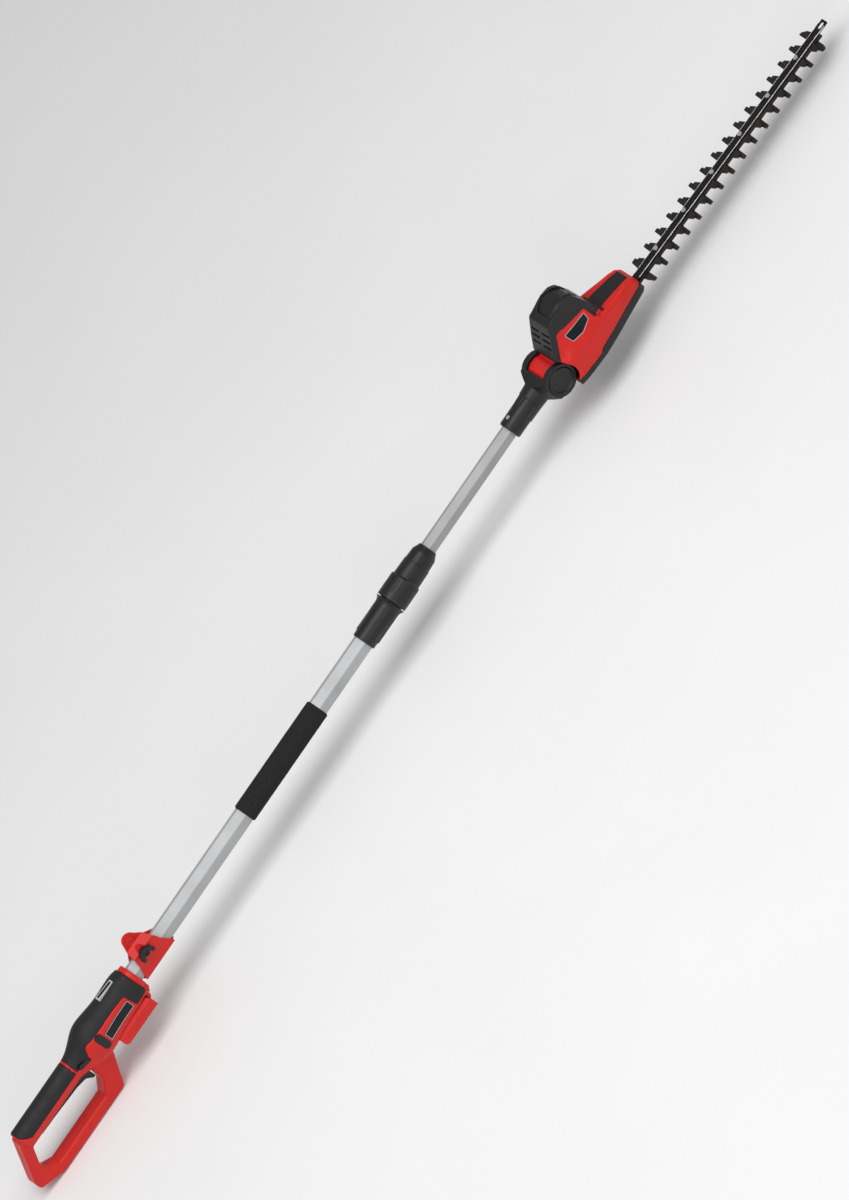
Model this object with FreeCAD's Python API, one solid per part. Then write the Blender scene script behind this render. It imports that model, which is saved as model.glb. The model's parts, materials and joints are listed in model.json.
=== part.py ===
import FreeCAD, Part
import math
import os

os.makedirs("parts", exist_ok=True)
V = FreeCAD.Vector

# Pole hedge trimmer, millimetres. +X runs along the pole to the blade tip, +Z is the side that
# faces up in use, +Y is the operator's left. The origin is on the pole's axis, at the middle of
# the foam grip. The head is modelled about its own pivot and then tilted down to its rest angle.

# ---- driving dimensions -------------------------------------------------------------------
OUTER_APOTHEM = 12.7          # outer hexagonal tube, half of its width across flats
OUTER_WALL = 1.5
INNER_APOTHEM = 10.2          # inner hexagonal tube, half of its width across flats
INNER_WALL = 1.3
TUBE_FIT = 0.25               # gap between a tube and what slides on it
TUBE_SCREW_X = -352.0
OUTER_REAR = -425.0           # outer tube, inside the handle
OUTER_FRONT = 225.0           # outer tube, inside the clamp sleeve
INNER_REAR = -300.0
INNER_FRONT = 560.0
NECK_SCREW_X = 535.0
NECK_SCREW_RADIUS = 1.6
FOAM_RADIUS = 16.1
FOAM_HALF_LENGTH = 84.0

WALL = 2.6                    # moulded shells
SOFT = 1.8                    # soft covers moulded over the shells
SEAM_X = -483.5               # seam between grip sleeve and body cover
SEAM_GAP = 0.1                 # between a soft cover and the red line that parts it
RIB_WIDTH = 1.1                # rib that outlines the sleeve
RIB_Z = 2.6
RIB_REAR = -577.0
RIB_BEND = 9.0
GRIP_Z = -4.0
GRIP_HALF_WIDTH = 17.0
GRIP_HALF_HEIGHT = 17.5
GRIP_REAR = -600.0
SLEEVE_EDGE_Z = -3.0          # lower edge of the grip sleeve
BODY_FRONT = -345.0
LOOP_HALF_WIDTH = 12.0
LOOP_BOTTOM = -86.5
LOOP_REAR = -634.5
LOOP_ROUNDING = 3.6
DOCK_REAR = -418.0
DOCK_FRONT = -350.0
DOCK_HALF_WIDTH = 25.0
DOCK_TOP = -22.0
DOCK_BOTTOM = -43.0

TRIGGER_PIN_X = -570.0
TRIGGER_PIN_Z = -13.5
PIN_FIT = 0.06                # running fit of pins and shafts

BRACKET_X = -302.0            # strap bracket, middle of its base
EYE_X = -305.0
EYE_Z = 39.4
EYE_RADIUS = 5.25
BRACKET_WALL = 2.4
BRACKET_INSIDE = OUTER_APOTHEM + 0.35
BOLT_BOSS_RADIUS = 7.2
BRACKET_BOTTOM = -12.0
BOLT_Z = 23.0

SLEEVE_REAR = 188.0
SLEEVE_FRONT = 250.0
NUT_REAR = 251.5
NUT_FRONT = 336.0

PIVOT_X = 613.0               # head pivot, on the pole's axis
HEAD_DROOP = 2.1              # degrees that the head points down at rest
EAR_RADIUS = 24.0
COLLAR_REAR = 547.8            # raised ring of the neck
COLLAR_NOTCH_FRONT = 569.0
LOWER_SWEEP_RADIUS = 25.2      # room for the head's lower rear edge as it tilts down
EAR_INSIDE = 20.4
EAR_OUTSIDE = 29.5
BARREL_RADIUS = 19.8
BARREL_HALF_WIDTH = 20.0
PIVOT_PIN_RADIUS = 5.0
BUTTON_RADIUS = 19.2

HEAD_WALL = 2.6
HEAD_FRONT = 165.3            # from the pivot
MOTOR_X = 78.0                # motor axis, from the pivot
MOTOR_RADIUS = 18.2
GEAR_MODULE = 1.0
PINION_TEETH = 9
GEAR_TEETH = 45
GEAR_X = MOTOR_X + GEAR_MODULE * (PINION_TEETH + GEAR_TEETH) / 2
CRANK_THROW = 5.5
CRANK_PIN_RADIUS = 3.5

BAR_TOP = -21.2               # guide bar, in the head's own height
BAR_BOTTOM = -23.8
BAR_HALF_WIDTH = 6.2
BLADE_THICKNESS = 1.8
UPPER_BLADE_TOP = -23.95
LOWER_BLADE_TOP = -25.9
SPINE_HALF_WIDTH = 9.2
TOOTH_PITCH = 24.6
TOOTH_COUNT = 16
FIRST_TOOTH_X = 184.0         # centre of the first pair of teeth, from the pivot
LONG_TOOTH = 29.3             # tooth tips, from the bar's middle line
SHORT_TOOTH = 20.8
BAR_END = 584.8
BLADE_END = 566.8
BLADE_BOLT_X = 214.6
BLADE_BOLT_PITCH = 61.7
BLADE_BOLT_COUNT = 6


# ---- helpers ------------------------------------------------------------------------------
def box(x0, x1, y0, y1, z0, z1):
    return Part.makeBox(x1 - x0, y1 - y0, z1 - z0, V(x0, y0, z0))


def cyl_x(radius, x0, x1, y=0.0, z=0.0):
    return Part.makeCylinder(radius, x1 - x0, V(x0, y, z), V(1, 0, 0))


def cyl_y(radius, y0, y1, x=0.0, z=0.0):
    return Part.makeCylinder(radius, y1 - y0, V(x, y0, z), V(0, 1, 0))


def cyl_z(radius, z0, z1, x=0.0, y=0.0):
    return Part.makeCylinder(radius, z1 - z0, V(x, y, z0), V(0, 0, 1))


def fuse(shapes):
    return shapes[0].fuse(shapes[1:]).removeSplitter() if len(shapes) > 1 else shapes[0]


def largest(shape):
    return sorted(shape.Solids, key=lambda s: s.Volume)[-1]


def rounded_face(corners, place):
    """A flat face from corners (a, b, radius), each radius rounding its corner."""
    edges = []
    starts = []
    ends = []
    count = len(corners)
    for i, (a, b, radius) in enumerate(corners):
        here = V(a, b, 0)
        before = V(corners[i - 1][0], corners[i - 1][1], 0) - here
        after = V(corners[(i + 1) % count][0], corners[(i + 1) % count][1], 0) - here
        if radius <= 0:
            starts.append(here)
            ends.append(here)
            edges.append(None)
            continue
        before.normalize()
        after.normalize()
        half = before.getAngle(after) / 2
        reach = radius / math.tan(half)
        middle = before + after
        middle.normalize()
        centre = here + middle * (radius / math.sin(half))
        starts.append(here + before * reach)
        ends.append(here + after * reach)
        edges.append(Part.Arc(place(starts[-1]), place(centre - middle * radius), place(ends[-1])))
    outline = []
    for i in range(count):
        if edges[i] is not None:
            outline.append(edges[i].toShape())
        following = starts[(i + 1) % count]
        if (following - ends[i]).Length > 1e-6:
            outline.append(Part.makeLine(place(ends[i]), place(following)))
    return Part.Face(Part.Wire(outline))


def side_prism(corners, y0, y1):
    """Corners (x, z, radius) pushed from y0 to y1."""
    return rounded_face(corners, lambda p: V(p.x, y0, p.y)).extrude(V(0, y1 - y0, 0))


def flat_prism(corners, z0, z1):
    """Corners (x, y, radius) pushed from z0 to z1."""
    return rounded_face(corners, lambda p: V(p.x, p.y, z0)).extrude(V(0, 0, z1 - z0))


def cross_prism(corners, x0, x1):
    """Corners (y, z, radius) pushed from x0 to x1."""
    return rounded_face(corners, lambda p: V(x0, p.x, p.y)).extrude(V(x1 - x0, 0, 0))


def hexagon(apothem, x0, x1, corner=0.8):
    """A hexagonal bar along X with a corner at the top."""
    radius = apothem / math.cos(math.pi / 6)
    corners = []
    for i in range(6):
        angle = math.radians(90 + 60 * i)
        corners.append((radius * math.cos(angle), radius * math.sin(angle), corner))
    return cross_prism(corners, x0, x1)


def turned_x(profile):
    """A solid of revolution about the pole's axis from corners (x, radius)."""
    points = [V(x, 0, r) for x, r in profile]
    face = Part.Face(Part.makePolygon(points + [points[0]]))
    return face.revolve(V(0, 0, 0), V(1, 0, 0), 360)


def egg_wire(x, half_width, middle, top, bottom, lower_power):
    """A closed smooth section: round above the middle height, squarer below it."""
    count = 32
    points = []
    for i in range(count):
        angle = 2 * math.pi * i / count
        c = math.cos(angle)
        s = math.sin(angle)
        power = 2.0 if s >= 0 else lower_power
        reach = (top - middle) if s >= 0 else (middle - bottom)
        y = half_width * math.copysign(abs(c) ** (2 / power), c)
        z = middle + reach * math.copysign(abs(s) ** (2 / power), s)
        points.append(V(x, y, z))
    curve = Part.BSplineCurve()
    curve.interpolate(points, PeriodicFlag=True)
    return Part.Wire(curve.toShape())


def coil(radius, wire_radius, length, turns):
    """A compression spring along +Z from the origin."""
    height = length - 2 * wire_radius
    helix = Part.Wire(Part.makeHelix(height / turns, height, radius))
    ring = Part.Wire(Part.makeCircle(wire_radius, V(radius, 0, 0), V(0, 1, 0)))
    spring = helix.makePipeShell([ring], True, True)
    spring.translate(V(0, 0, wire_radius))
    return spring


def screw_y(x, z, head_y, tip_y, shank=1.7, head=3.3, head_height=2.4):
    """A pan-head screw along Y, its head at head_y and its tip at tip_y."""
    way = 1 if head_y > tip_y else -1
    shank_body = cyl_y(shank, min(head_y, tip_y), max(head_y, tip_y), x, z)
    head_body = cyl_y(head, min(head_y, head_y + way * head_height), max(head_y,
                                                                         head_y + way * head_height), x, z)
    slot = box(x - head, x + head, head_y + way * head_height - 0.5, head_y + way * head_height + 0.5,
               z - 0.45, z + 0.45)
    return shank_body.fuse(head_body).cut(slot)


def in_head(shape):
    """Puts a shape that was modelled about the pivot in its place, at the rest tilt."""
    placed = shape.copy()
    placed.rotate(V(0, 0, 0), V(0, 1, 0), HEAD_DROOP)
    placed.translate(V(PIVOT_X, 0, 0))
    return placed


def save(shape, node):
    shape.exportStep("parts/" + node + ".step")


# ---- handle housing -----------------------------------------------------------------------
BODY_SECTIONS = [
    # x, half width, widest height, top, bottom, squareness of the lower half
    (-486.0, 17.0, -4.0, 13.5, -21.5, 2.0),
    (-471.0, 18.6, -3.0, 15.6, -27.0, 2.4),
    (-456.0, 23.0, -1.0, 21.5, -31.5, 3.0),
    (-440.0, 26.8, 0.0, 27.4, -32.0, 3.6),
    (-415.0, 26.2, 0.0, 26.6, -30.0, 4.0),
    (-380.0, 24.4, 0.0, 24.8, -27.0, 4.0),
    (BODY_FRONT, 22.4, 0.0, 22.4, -24.0, 4.0),
]


def body_loft(inset):
    last = len(BODY_SECTIONS) - 1
    wires = []
    for i, (x, width, middle, top, bottom, power) in enumerate(BODY_SECTIONS):
        station = x + inset if i == 0 else x - inset if i == last else x
        wires.append(egg_wire(station, width - inset, middle, top - inset, bottom + inset, power))
    return Part.makeLoft(wires, True, False)


def grip_loft(inset):
    height = GRIP_HALF_HEIGHT - inset
    width = GRIP_HALF_WIDTH - inset
    wires = []
    for x, scale in ((GRIP_REAR + inset, 0.9), (GRIP_REAR + 3 + inset, 1.0), (-486.0 + inset, 1.0)):
        wires.append(egg_wire(x, width * scale, GRIP_Z, GRIP_Z + height * scale, GRIP_Z - height * scale,
                              2.0))
    return Part.makeLoft(wires, True, True)


def hand_opening(growth=0.0):
    g = growth
    return [
        (-595.5 - g, -18.5 + g, 5.0),
        (-608.0 - g, -43.0, 6.0),
        (-608.0 - g, -59.7 - g / 2, 6.0),
        (-591.7 - g / 2, -70.0 - g, 4.0),
        (-488.0 + g / 2, -70.0 - g, 4.0),
        (-472.5 + g, -52.0, 6.0),
        (-470.5 + g, -38.0, 4.0),
        (-470.5 + g, -18.5 + g, 6.0),
    ]


def loop_solid(inset):
    outline = [
        (-596.0 + inset, 5.0 - inset, 2.0),
        (-603.5 + inset, 3.0 - inset, 3.0),
        (LOOP_REAR + inset, -59.0, 8.0),
        (LOOP_REAR + inset, -70.5, 6.0),
        (-597.0, LOOP_BOTTOM + inset, 12.0),
        (-462.0 - inset, LOOP_BOTTOM + inset, 10.0),
        (-431.0 - inset, -33.0, 4.0),
        (-431.0 - inset, -12.0, 2.0),
    ]
    half = LOOP_HALF_WIDTH - inset
    solid = side_prism(outline, -half, half)
    hole = side_prism(hand_opening(inset), -half - 5, half + 5)
    return solid.cut(hole)


def softened_loop():
    """The outside of the rear loop with its long edges rounded."""
    loop = loop_solid(0.0)
    edges = []
    for edge in loop.Edges:
        reach = edge.BoundBox
        if reach.YLength < 0.01 and reach.ZMin < -16.0:
            edges.append(edge)
    return loop.makeFillet(LOOP_ROUNDING, edges)


def front_slope(inset):
    """The wedge that runs from the dock's front up to the pole collar."""
    return side_prism([
        (-372.0 + inset, -18.0, 0),
        (-372.0 + inset, -36.0 + inset, 0),
        (-351.0 - inset / 2, -34.0 + inset, 1.5),
        (BODY_FRONT - inset, -27.5 + inset, 0),
        (BODY_FRONT - inset, -18.0, 0),
    ], -19.0 + inset, 19.0 - inset)


def housing_outside():
    return fuse([grip_loft(0.0), body_loft(0.0), softened_loop(), front_slope(0.0)])


def housing_inside():
    return fuse([grip_loft(WALL + 0.6), body_loft(WALL + 0.6), loop_solid(WALL + 0.6), front_slope(WALL)])


def cover_region():
    """Side outline of the soft cover over the body, with its tongue at the front."""
    return side_prism([
        (SEAM_X, SLEEVE_EDGE_Z, 0),
        (-461.0, SLEEVE_EDGE_Z, 4.0),
        (-452.0, 14.0, 9.0),
        (-369.0, 10.5, 2.5),
        (-367.0, -15.0, 4.0),
        (BODY_FRONT + 2, -15.0, 0),
        (BODY_FRONT + 2, 40.0, 0),
        (SEAM_X, 40.0, 0),
    ], -40, 40)


def sleeve_region():
    """Side outline of the soft grip sleeve, cut away at its lower rear corner."""
    rear = GRIP_REAR + 1.2
    return side_prism([
        (rear, 40.0, 0),
        (rear, 8.6, 2.0),
        (rear + 12.5, SLEEVE_EDGE_Z, 3.0),
        (SEAM_X - SEAM_GAP, SLEEVE_EDGE_Z, 0),
        (SEAM_X - SEAM_GAP, 40.0, 0),
    ], -30, 30)


def seam_line():
    """Red rib of the shells that runs along the sleeve's side, then bends up and over its top."""
    half = RIB_WIDTH / 2
    outer = side_prism([
        (RIB_REAR, RIB_Z - half, 0),
        (SEAM_X + half, RIB_Z - half, RIB_BEND + half),
        (SEAM_X + half, 40.0, 0),
        (RIB_REAR, 40.0, 0),
    ], -40, 40)
    inner = side_prism([
        (RIB_REAR - 5, RIB_Z + half, 0),
        (SEAM_X - half, RIB_Z + half, RIB_BEND - half),
        (SEAM_X - half, 41.0, 0),
        (RIB_REAR - 5, 41.0, 0),
    ], -40, 40)
    return outer.cut(inner)


def sleeve_skin():
    return grip_loft(0.0).cut(grip_loft(SOFT)).common(sleeve_region()).cut(seam_line())


def cover_skin():
    skin = body_loft(0.0).fuse(grip_loft(0.0)).cut(body_loft(SOFT).fuse(grip_loft(SOFT)))
    return skin.common(cover_region()).cut(seam_line())


def body_cover():
    cover = cover_skin().cut(lock_pocket(0.4)).cut(cyl_x(18.7, -350.0, -330.0))
    return cover.cut(window_block(31.4, 4.4, 15, 40))


def lock_pocket(gap):
    """Slanted oblong pocket of the lock-off button in the right side."""
    pocket = side_prism([
        (-478.5 - gap, 1.2 + gap, 2.4),
        (-478.5 - gap, -5.4 - gap, 2.4),
        (-459.5 + gap, -5.4 - gap, 2.4),
        (-459.5 + gap, 1.2 + gap, 2.4),
    ], -32, -10)
    pocket.rotate(V(-469.0, 0, -2.1), V(0, 1, 0), 9.0)
    return pocket


LOCK_FACE = 20.4               # outer face of the lock-off button, from the middle plane
HANDLE_SCREWS = [(-614.0, -62.0), (-545.0, -78.5), (-470.0, -79.0), (-452.0, -52.0), (-432.0, -24.0),
                 (-587.0, -9.5)]
PLUG_X = -432.0


def plug_outline(gap):
    return [(PLUG_X - 5.6 - gap, 13.4 + gap, 5.2), (PLUG_X - 4.8 - gap, -15.4 - gap, 5.2),
            (PLUG_X + 6.2 + gap, -15.4 - gap, 5.2), (PLUG_X + 5.4 + gap, 13.4 + gap, 5.2)]


def half_width_at(x, z):
    """Half width of the housing where a screw crosses it."""
    if z < -22 and x < -440:
        return LOOP_HALF_WIDTH
    if x < SEAM_X:
        return 15.0
    return 24.0


def screw_bosses(side):
    bosses = []
    for x, z in HANDLE_SCREWS:
        reach = half_width_at(x, z) - 1.0
        low, high = (-reach, 0.0) if side < 0 else (0.0, reach)
        bosses.append(cyl_y(3.6, low, high, x, z))
    return bosses


def handle_shell(side, outside, inside):
    half = box(-700, -300, -60, 0, -120, 80) if side < 0 else box(-700, -300, 0, 60, -120, 80)
    shell = outside.cut(inside)
    pin_boss = cyl_y(4.2, -14.0, 14.0, TRIGGER_PIN_X, TRIGGER_PIN_Z).cut(box(-700, -300, -8.8, 8.8, -60, 60))
    extras = [boss.common(outside) for boss in screw_bosses(side)] + [pin_boss.common(outside)]
    shell = shell.fuse(extras).common(half)
    shell = shell.cut(sleeve_skin()).cut(cover_skin())
    shell = shell.cut(cyl_y(2.0, -13.0, 13.0, TRIGGER_PIN_X, TRIGGER_PIN_Z))
    shell = shell.cut(box(-578.0, -469.9, -8.6, 8.6, -40.0, -9.0))
    shell = shell.cut(hexagon(OUTER_APOTHEM, OUTER_REAR, -300))
    shell = shell.cut(cyl_x(18.6, -362.0, -330.0))
    shell = shell.cut(window_block(31.0, 4.2, 15, 40))
    shell = shell.cut(box(DOCK_REAR + 6, DOCK_FRONT + 1, -16, 16, -40, DOCK_TOP + 4))
    shell = shell.cut(box(DOCK_REAR, DOCK_FRONT, -30, 30, -50, DOCK_TOP))
    plug_pocket = side_prism(plug_outline(0.1), -40, 40).cut(box(-500, -400, -24.2, 24.2, -60, 60))
    shell = shell.cut(plug_pocket)
    shell = shell.cut(plate_solid().cut(box(-500, -300, -23.4, 23.4, -60, 60)))
    if side < 0:
        shell = shell.cut(lock_pocket(0.4))
        for x, z in HANDLE_SCREWS:
            shell = shell.cut(cyl_y(1.7, -9.0, 0.1, x, z))
    else:
        for x, z in HANDLE_SCREWS:
            reach = half_width_at(x, z)
            shell = shell.cut(cyl_y(1.9, -0.1, reach + 8, x, z))
            shell = shell.cut(cyl_y(3.7, reach - 4.0, reach + 8, x, z))
    return largest(shell)


def handle_screws():
    screws = []
    for x, z in HANDLE_SCREWS:
        head_y = half_width_at(x, z) - 4.0
        screws.append(screw_y(x, z, head_y, -8.5))
    screws.append(tube_screw())
    return Part.makeCompound(screws)


def side_plugs():
    """Oblong plugs, one in each side of the body."""
    outline = plug_outline(0.0)
    right = side_prism(outline, -26.6, -24.2)
    left = side_prism(outline, 24.2, 26.6)
    return Part.makeCompound([right, left])


def plate_solid():
    return side_prism([(-423.0, 4.6, 0.8), (-423.0, -10.8, 0.8), (-370.5, -10.8, 0.8), (-370.5, 4.6,
                                                                                        0.8)], -40, 40)


def side_plates():
    """Plain dark plates, one in each side of the body, flush with its taper."""
    ring = body_loft(-0.3).cut(box(-500, -300, -23.4, 23.4, -60, 60))
    plates = ring.common(side_prism([(-422.8, 4.4, 0.8), (-422.8, -10.6, 0.8), (-370.7, -10.6, 0.8),
                                     (-370.7, 4.4, 0.8)], -40, 40))
    return plates


def window_block(length, half_width, low, high):
    """A block in the body's top, tilted along its taper."""
    block = box(-376.0 - length / 2, -376.0 + length / 2, -half_width, half_width, low, high)
    block.rotate(V(-376.0, 0, 24.8), V(0, 1, 0), 3.8)
    return block


def window_frame():
    frame = window_block(31.0, 4.2, 20.5, 26.6)
    frame = frame.makeFillet(1.0, [e for e in frame.Edges if e.CenterOfMass.z > 25.2])
    return frame.cut(window_block(26.6, 2.5, 23.5, 30.0))


def window_lens():
    return window_block(26.4, 2.4, 23.6, 25.9)


def pole_collar():
    """Ring round the pole with a chin that meets the front slope."""
    ring = turned_x([(-360.0, 10.0), (-360.0, 18.4), (-344.9, 18.4), (-344.9, 20.4), (-343.4, 21.0),
                     (-338.2, 20.4), (-336.8, 19.0), (-336.8, 10.0)])
    chin = side_prism([(-344.9, -14.0, 0), (-344.9, -27.0, 1.0), (-341.0, -23.0, 2.0), (-337.6, -18.5, 1.0),
                       (-337.6, -12.0, 0)], -16.5, 16.5)
    ring = ring.fuse(chin).cut(hexagon(OUTER_APOTHEM, -400, -300, 1.2))
    return ring.cut(cyl_y(1.5, 5, 30, TUBE_SCREW_X, 0)).cut(cyl_y(3.0, 16.0, 30, TUBE_SCREW_X, 0))


def battery_dock():
    block = cross_prism([
        (-DOCK_HALF_WIDTH, DOCK_TOP - 4.5, 1.5), (-DOCK_HALF_WIDTH, DOCK_BOTTOM, 3.0),
        (DOCK_HALF_WIDTH, DOCK_BOTTOM, 3.0), (DOCK_HALF_WIDTH, DOCK_TOP - 4.5, 1.5),
        (DOCK_HALF_WIDTH - 4.5, DOCK_TOP, 1.5), (-DOCK_HALF_WIDTH + 4.5, DOCK_TOP, 1.5),
    ], DOCK_REAR, DOCK_FRONT)
    rear_cut = side_prism([(DOCK_REAR - 1, DOCK_BOTTOM - 1, 0), (DOCK_REAR + 6, DOCK_BOTTOM - 1, 0),
                           (DOCK_REAR - 1, DOCK_BOTTOM + 8, 0)], -40, 40)
    front_cut = side_prism([(DOCK_FRONT + 1, DOCK_TOP + 1, 0), (DOCK_FRONT - 5, DOCK_TOP + 1, 0),
                            (DOCK_FRONT + 1, DOCK_TOP - 7, 0)], -40, 40)
    channel = box(DOCK_REAR + 6, DOCK_FRONT + 1, -21.5, 21.5, -39.5, -33.0)
    mouth = box(DOCK_REAR + 6, DOCK_FRONT + 1, -17.5, 17.5, DOCK_BOTTOM - 1, -39.4)
    terminal = box(DOCK_REAR + 6, -384.0, -14.1, 14.1, -33.1, DOCK_TOP + 1)
    return block.cut(rear_cut).cut(front_cut).cut(channel).cut(mouth).cut(terminal)


def terminal_block():
    block = box(DOCK_REAR + 6.1, -384.1, -14.0, 14.0, -33.0, -22.1)
    for y in (-9.0, 0.0, 9.0):
        block = block.cut(box(-408.0, -388.0, y - 0.5, y + 0.5, -34, -25.0))
    return block


def terminal_blades():
    blades = []
    for y in (-9.0, 0.0, 9.0):
        blades.append(box(-407.9, -388.1, y - 0.45, y + 0.45, -38.5, -25.1))
    return Part.makeCompound(blades)


def trigger():
    lever = side_prism([
        (-575.5, -10.0, 3.0), (-575.5, -21.4, 2.0), (-548.0, -22.2, 0), (-500.0, -25.0, 0), (-484.0,
                                                                                             -28.5, 6.0),
        (-476.5, -38.5, 0.8), (-472.6, -38.5, 0.8), (-472.6, -12.6, 3.0), (-560.0, -12.6, 0), (-565.0,
                                                                                               -10.0, 2.0),
    ], -8.0, 8.0)
    lever = lever.makeFillet(1.6,
                             [e for e in lever.Edges if e.BoundBox.YLength < 0.01 and e.BoundBox.ZMax < -18])
    return lever.cut(cyl_y(2.0 + PIN_FIT, -10, 10, TRIGGER_PIN_X, TRIGGER_PIN_Z))


def trigger_pin():
    return cyl_y(2.0, -12.9, 12.9, TRIGGER_PIN_X, TRIGGER_PIN_Z)


def trigger_spring():
    spring = coil(2.6, 0.4, 10.2, 5)
    spring.translate(V(-496.0, 0, -12.5))
    return spring


def switch_box():
    body = box(-546.0, -490.0, -6.5, 6.5, -2.2, 7.5)
    plunger = box(-532.0, -526.0, -2.5, 2.5, -5.5, -2.2)
    return body.fuse(plunger)


def lock_off_button():
    button = lock_pocket(0.0).common(box(-500, -440, -LOCK_FACE, -13.4, -20, 20))
    stem = cyl_y(2.4, -13.5, -9.5, -469.0, -2.1)
    return button.fuse(stem)


def lock_spring():
    spring = coil(1.7, 0.3, 3.4, 4)
    spring.rotate(V(0, 0, 0), V(1, 0, 0), 90)
    spring.translate(V(-469.0, -5.9, -2.1))
    return spring


def control_board():
    board = box(-446.0, -427.0, -14.0, 14.0, -2.0, -0.4)
    parts = [board]
    for x, y, side in ((-441.0, -8.0, 4.0), (-441.0, 2.0, 5.0), (-434.0, 8.0, 3.5)):
        parts.append(box(x, x + side, y, y + side, -0.4, 3.5))
    return fuse(parts)


# ---- pole ---------------------------------------------------------------------------------
def outer_tube():
    tube = hexagon(OUTER_APOTHEM, OUTER_REAR, OUTER_FRONT, 1.2)
    tube = tube.cut(hexagon(OUTER_APOTHEM - OUTER_WALL, OUTER_REAR - 1, OUTER_FRONT + 1, 0.6))
    return tube.cut(cyl_y(1.5, 5, 30, TUBE_SCREW_X, 0))


def inner_tube():
    tube = hexagon(INNER_APOTHEM, INNER_REAR, INNER_FRONT, 1.0)
    tube = tube.cut(hexagon(INNER_APOTHEM - INNER_WALL, INNER_REAR - 1, INNER_FRONT + 1, 0.5))
    return tube.cut(cyl_z(NECK_SCREW_RADIUS, -30, 30, NECK_SCREW_X, 0))


def slide_plug():
    """Bush on the inner tube's rear end that guides it in the outer tube."""
    outside = OUTER_APOTHEM - OUTER_WALL - TUBE_FIT
    plug = hexagon(outside, INNER_REAR - 4, INNER_REAR, 0.8)
    stem = hexagon(INNER_APOTHEM - INNER_WALL, INNER_REAR, INNER_REAR + 16, 0.5)
    return plug.fuse(stem).cut(cyl_x(6.6, INNER_REAR - 5, INNER_REAR + 17))


def guide_bush():
    """Bush in the outer tube's front end that guides the inner tube."""
    bush = hexagon(OUTER_APOTHEM - OUTER_WALL, OUTER_FRONT - 24, OUTER_FRONT, 0.6)
    lip = hexagon(OUTER_APOTHEM, OUTER_FRONT, OUTER_FRONT + 2, 1.2)
    return bush.fuse(lip).cut(hexagon(INNER_APOTHEM + TUBE_FIT, OUTER_FRONT - 30, OUTER_FRONT + 5, 1.0))


def coiled_cable():
    return cyl_x(5.4, -410.0, 520.0)


def foam_grip():
    foam = cyl_x(FOAM_RADIUS, -FOAM_HALF_LENGTH, FOAM_HALF_LENGTH)
    foam = foam.makeFillet(1.6, foam.Edges[:])
    return foam.cut(hexagon(OUTER_APOTHEM, -100, 100, 1.2))


def tube_screw():
    """Screw through the collar into the outer tube."""
    return screw_y(TUBE_SCREW_X, 0.0, 16.0, 11.4, 1.5, 2.9, 2.0)


def clamp_sleeve():
    sleeve = turned_x([
        (SLEEVE_REAR, 11.0), (SLEEVE_REAR, 15.6), (SLEEVE_REAR + 1, 16.2), (243.0, 17.8), (247.0, 19.2),
        (249.5, 21.35), (SLEEVE_FRONT, 21.35), (SLEEVE_FRONT, 16.0), (284.0, 16.0), (284.0, 11.0),
    ])
    for turn in (0, 180):
        panel = side_prism([(197.0, -4.5, 1.5), (238.0, -4.8, 1.5), (238.0, 4.8, 1.5), (197.0, 4.5,
                                                                                        1.5)], 15.5, 18.0)
        panel.rotate(V(0, 0, 0), V(1, 0, 0), turn + 20)
        sleeve = sleeve.fuse(panel)
    sleeve = sleeve.cut(hexagon(OUTER_APOTHEM, SLEEVE_REAR - 1, OUTER_FRONT, 1.2))
    return sleeve.cut(cyl_x(14.75, OUTER_FRONT, 290))


def clamp_collet():
    """Slit ring that the clamp nut squeezes onto the inner tube."""
    ring = turned_x([(262.0, 8.0), (262.0, 14.6), (286.0, 14.6), (286.0, 15.2), (300.0, 15.2), (318.0, 13.6),
                     (318.0, 8.0)])
    ring = ring.cut(hexagon(INNER_APOTHEM + TUBE_FIT, 250, 330, 1.0))
    for i in range(3):
        slit = box(272.0, 330.0, -0.9, 0.9, 0, 20)
        slit.rotate(V(0, 0, 0), V(1, 0, 0), 120 * i + 60)
        ring = ring.cut(slit)
    return ring


def clamp_nut():
    nut = turned_x([
        (NUT_REAR, 16.4), (NUT_REAR, 20.9), (NUT_REAR + 0.6, 21.35), (284.0, 21.35), (286.5,
                                                                                      19.2), (310.0, 18.7),
        (311.0, 18.0), (326.0, 17.3), (333.0, 13.9), (NUT_FRONT, 12.9), (NUT_FRONT, 12.3), (322.0, 12.3),
        (320.0, 15.6), (288.0, 15.6), (288.0, 16.4),
    ])
    for i in range(6):
        groove = cyl_x(1.1, 262.0, 282.0, 0, 22.0)
        groove.rotate(V(0, 0, 0), V(1, 0, 0), 60 * i + 30)
        nut = nut.cut(groove)
    for i in range(2):
        mark = box(283.0, 288.5, -3.2, 3.2, 18.0, 21.4)
        mark.rotate(V(0, 0, 0), V(1, 0, 0), 180 * i + 62)
        nut = nut.fuse(mark.cut(cyl_x(18.2, 280, 290)))
    return nut


# ---- strap bracket ------------------------------------------------------------------------
def bracket_sheet():
    """Bent sheet: flange with the eye, slanted step, and wall beside the tube, on the left."""
    t = BRACKET_WALL
    inside = BRACKET_INSIDE
    corners = [(0.05, 50.4), (0.05, 30.6), (inside, 23.6), (inside, BRACKET_BOTTOM), (inside + t,
                                                                                      BRACKET_BOTTOM),
               (inside + t, 25.0), (t + 0.4, 31.9), (t, 32.6), (t, 50.4)]
    return cross_prism([(y, z, 0.0) for y, z in corners], BRACKET_X - 40, BRACKET_X + 40)


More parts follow.
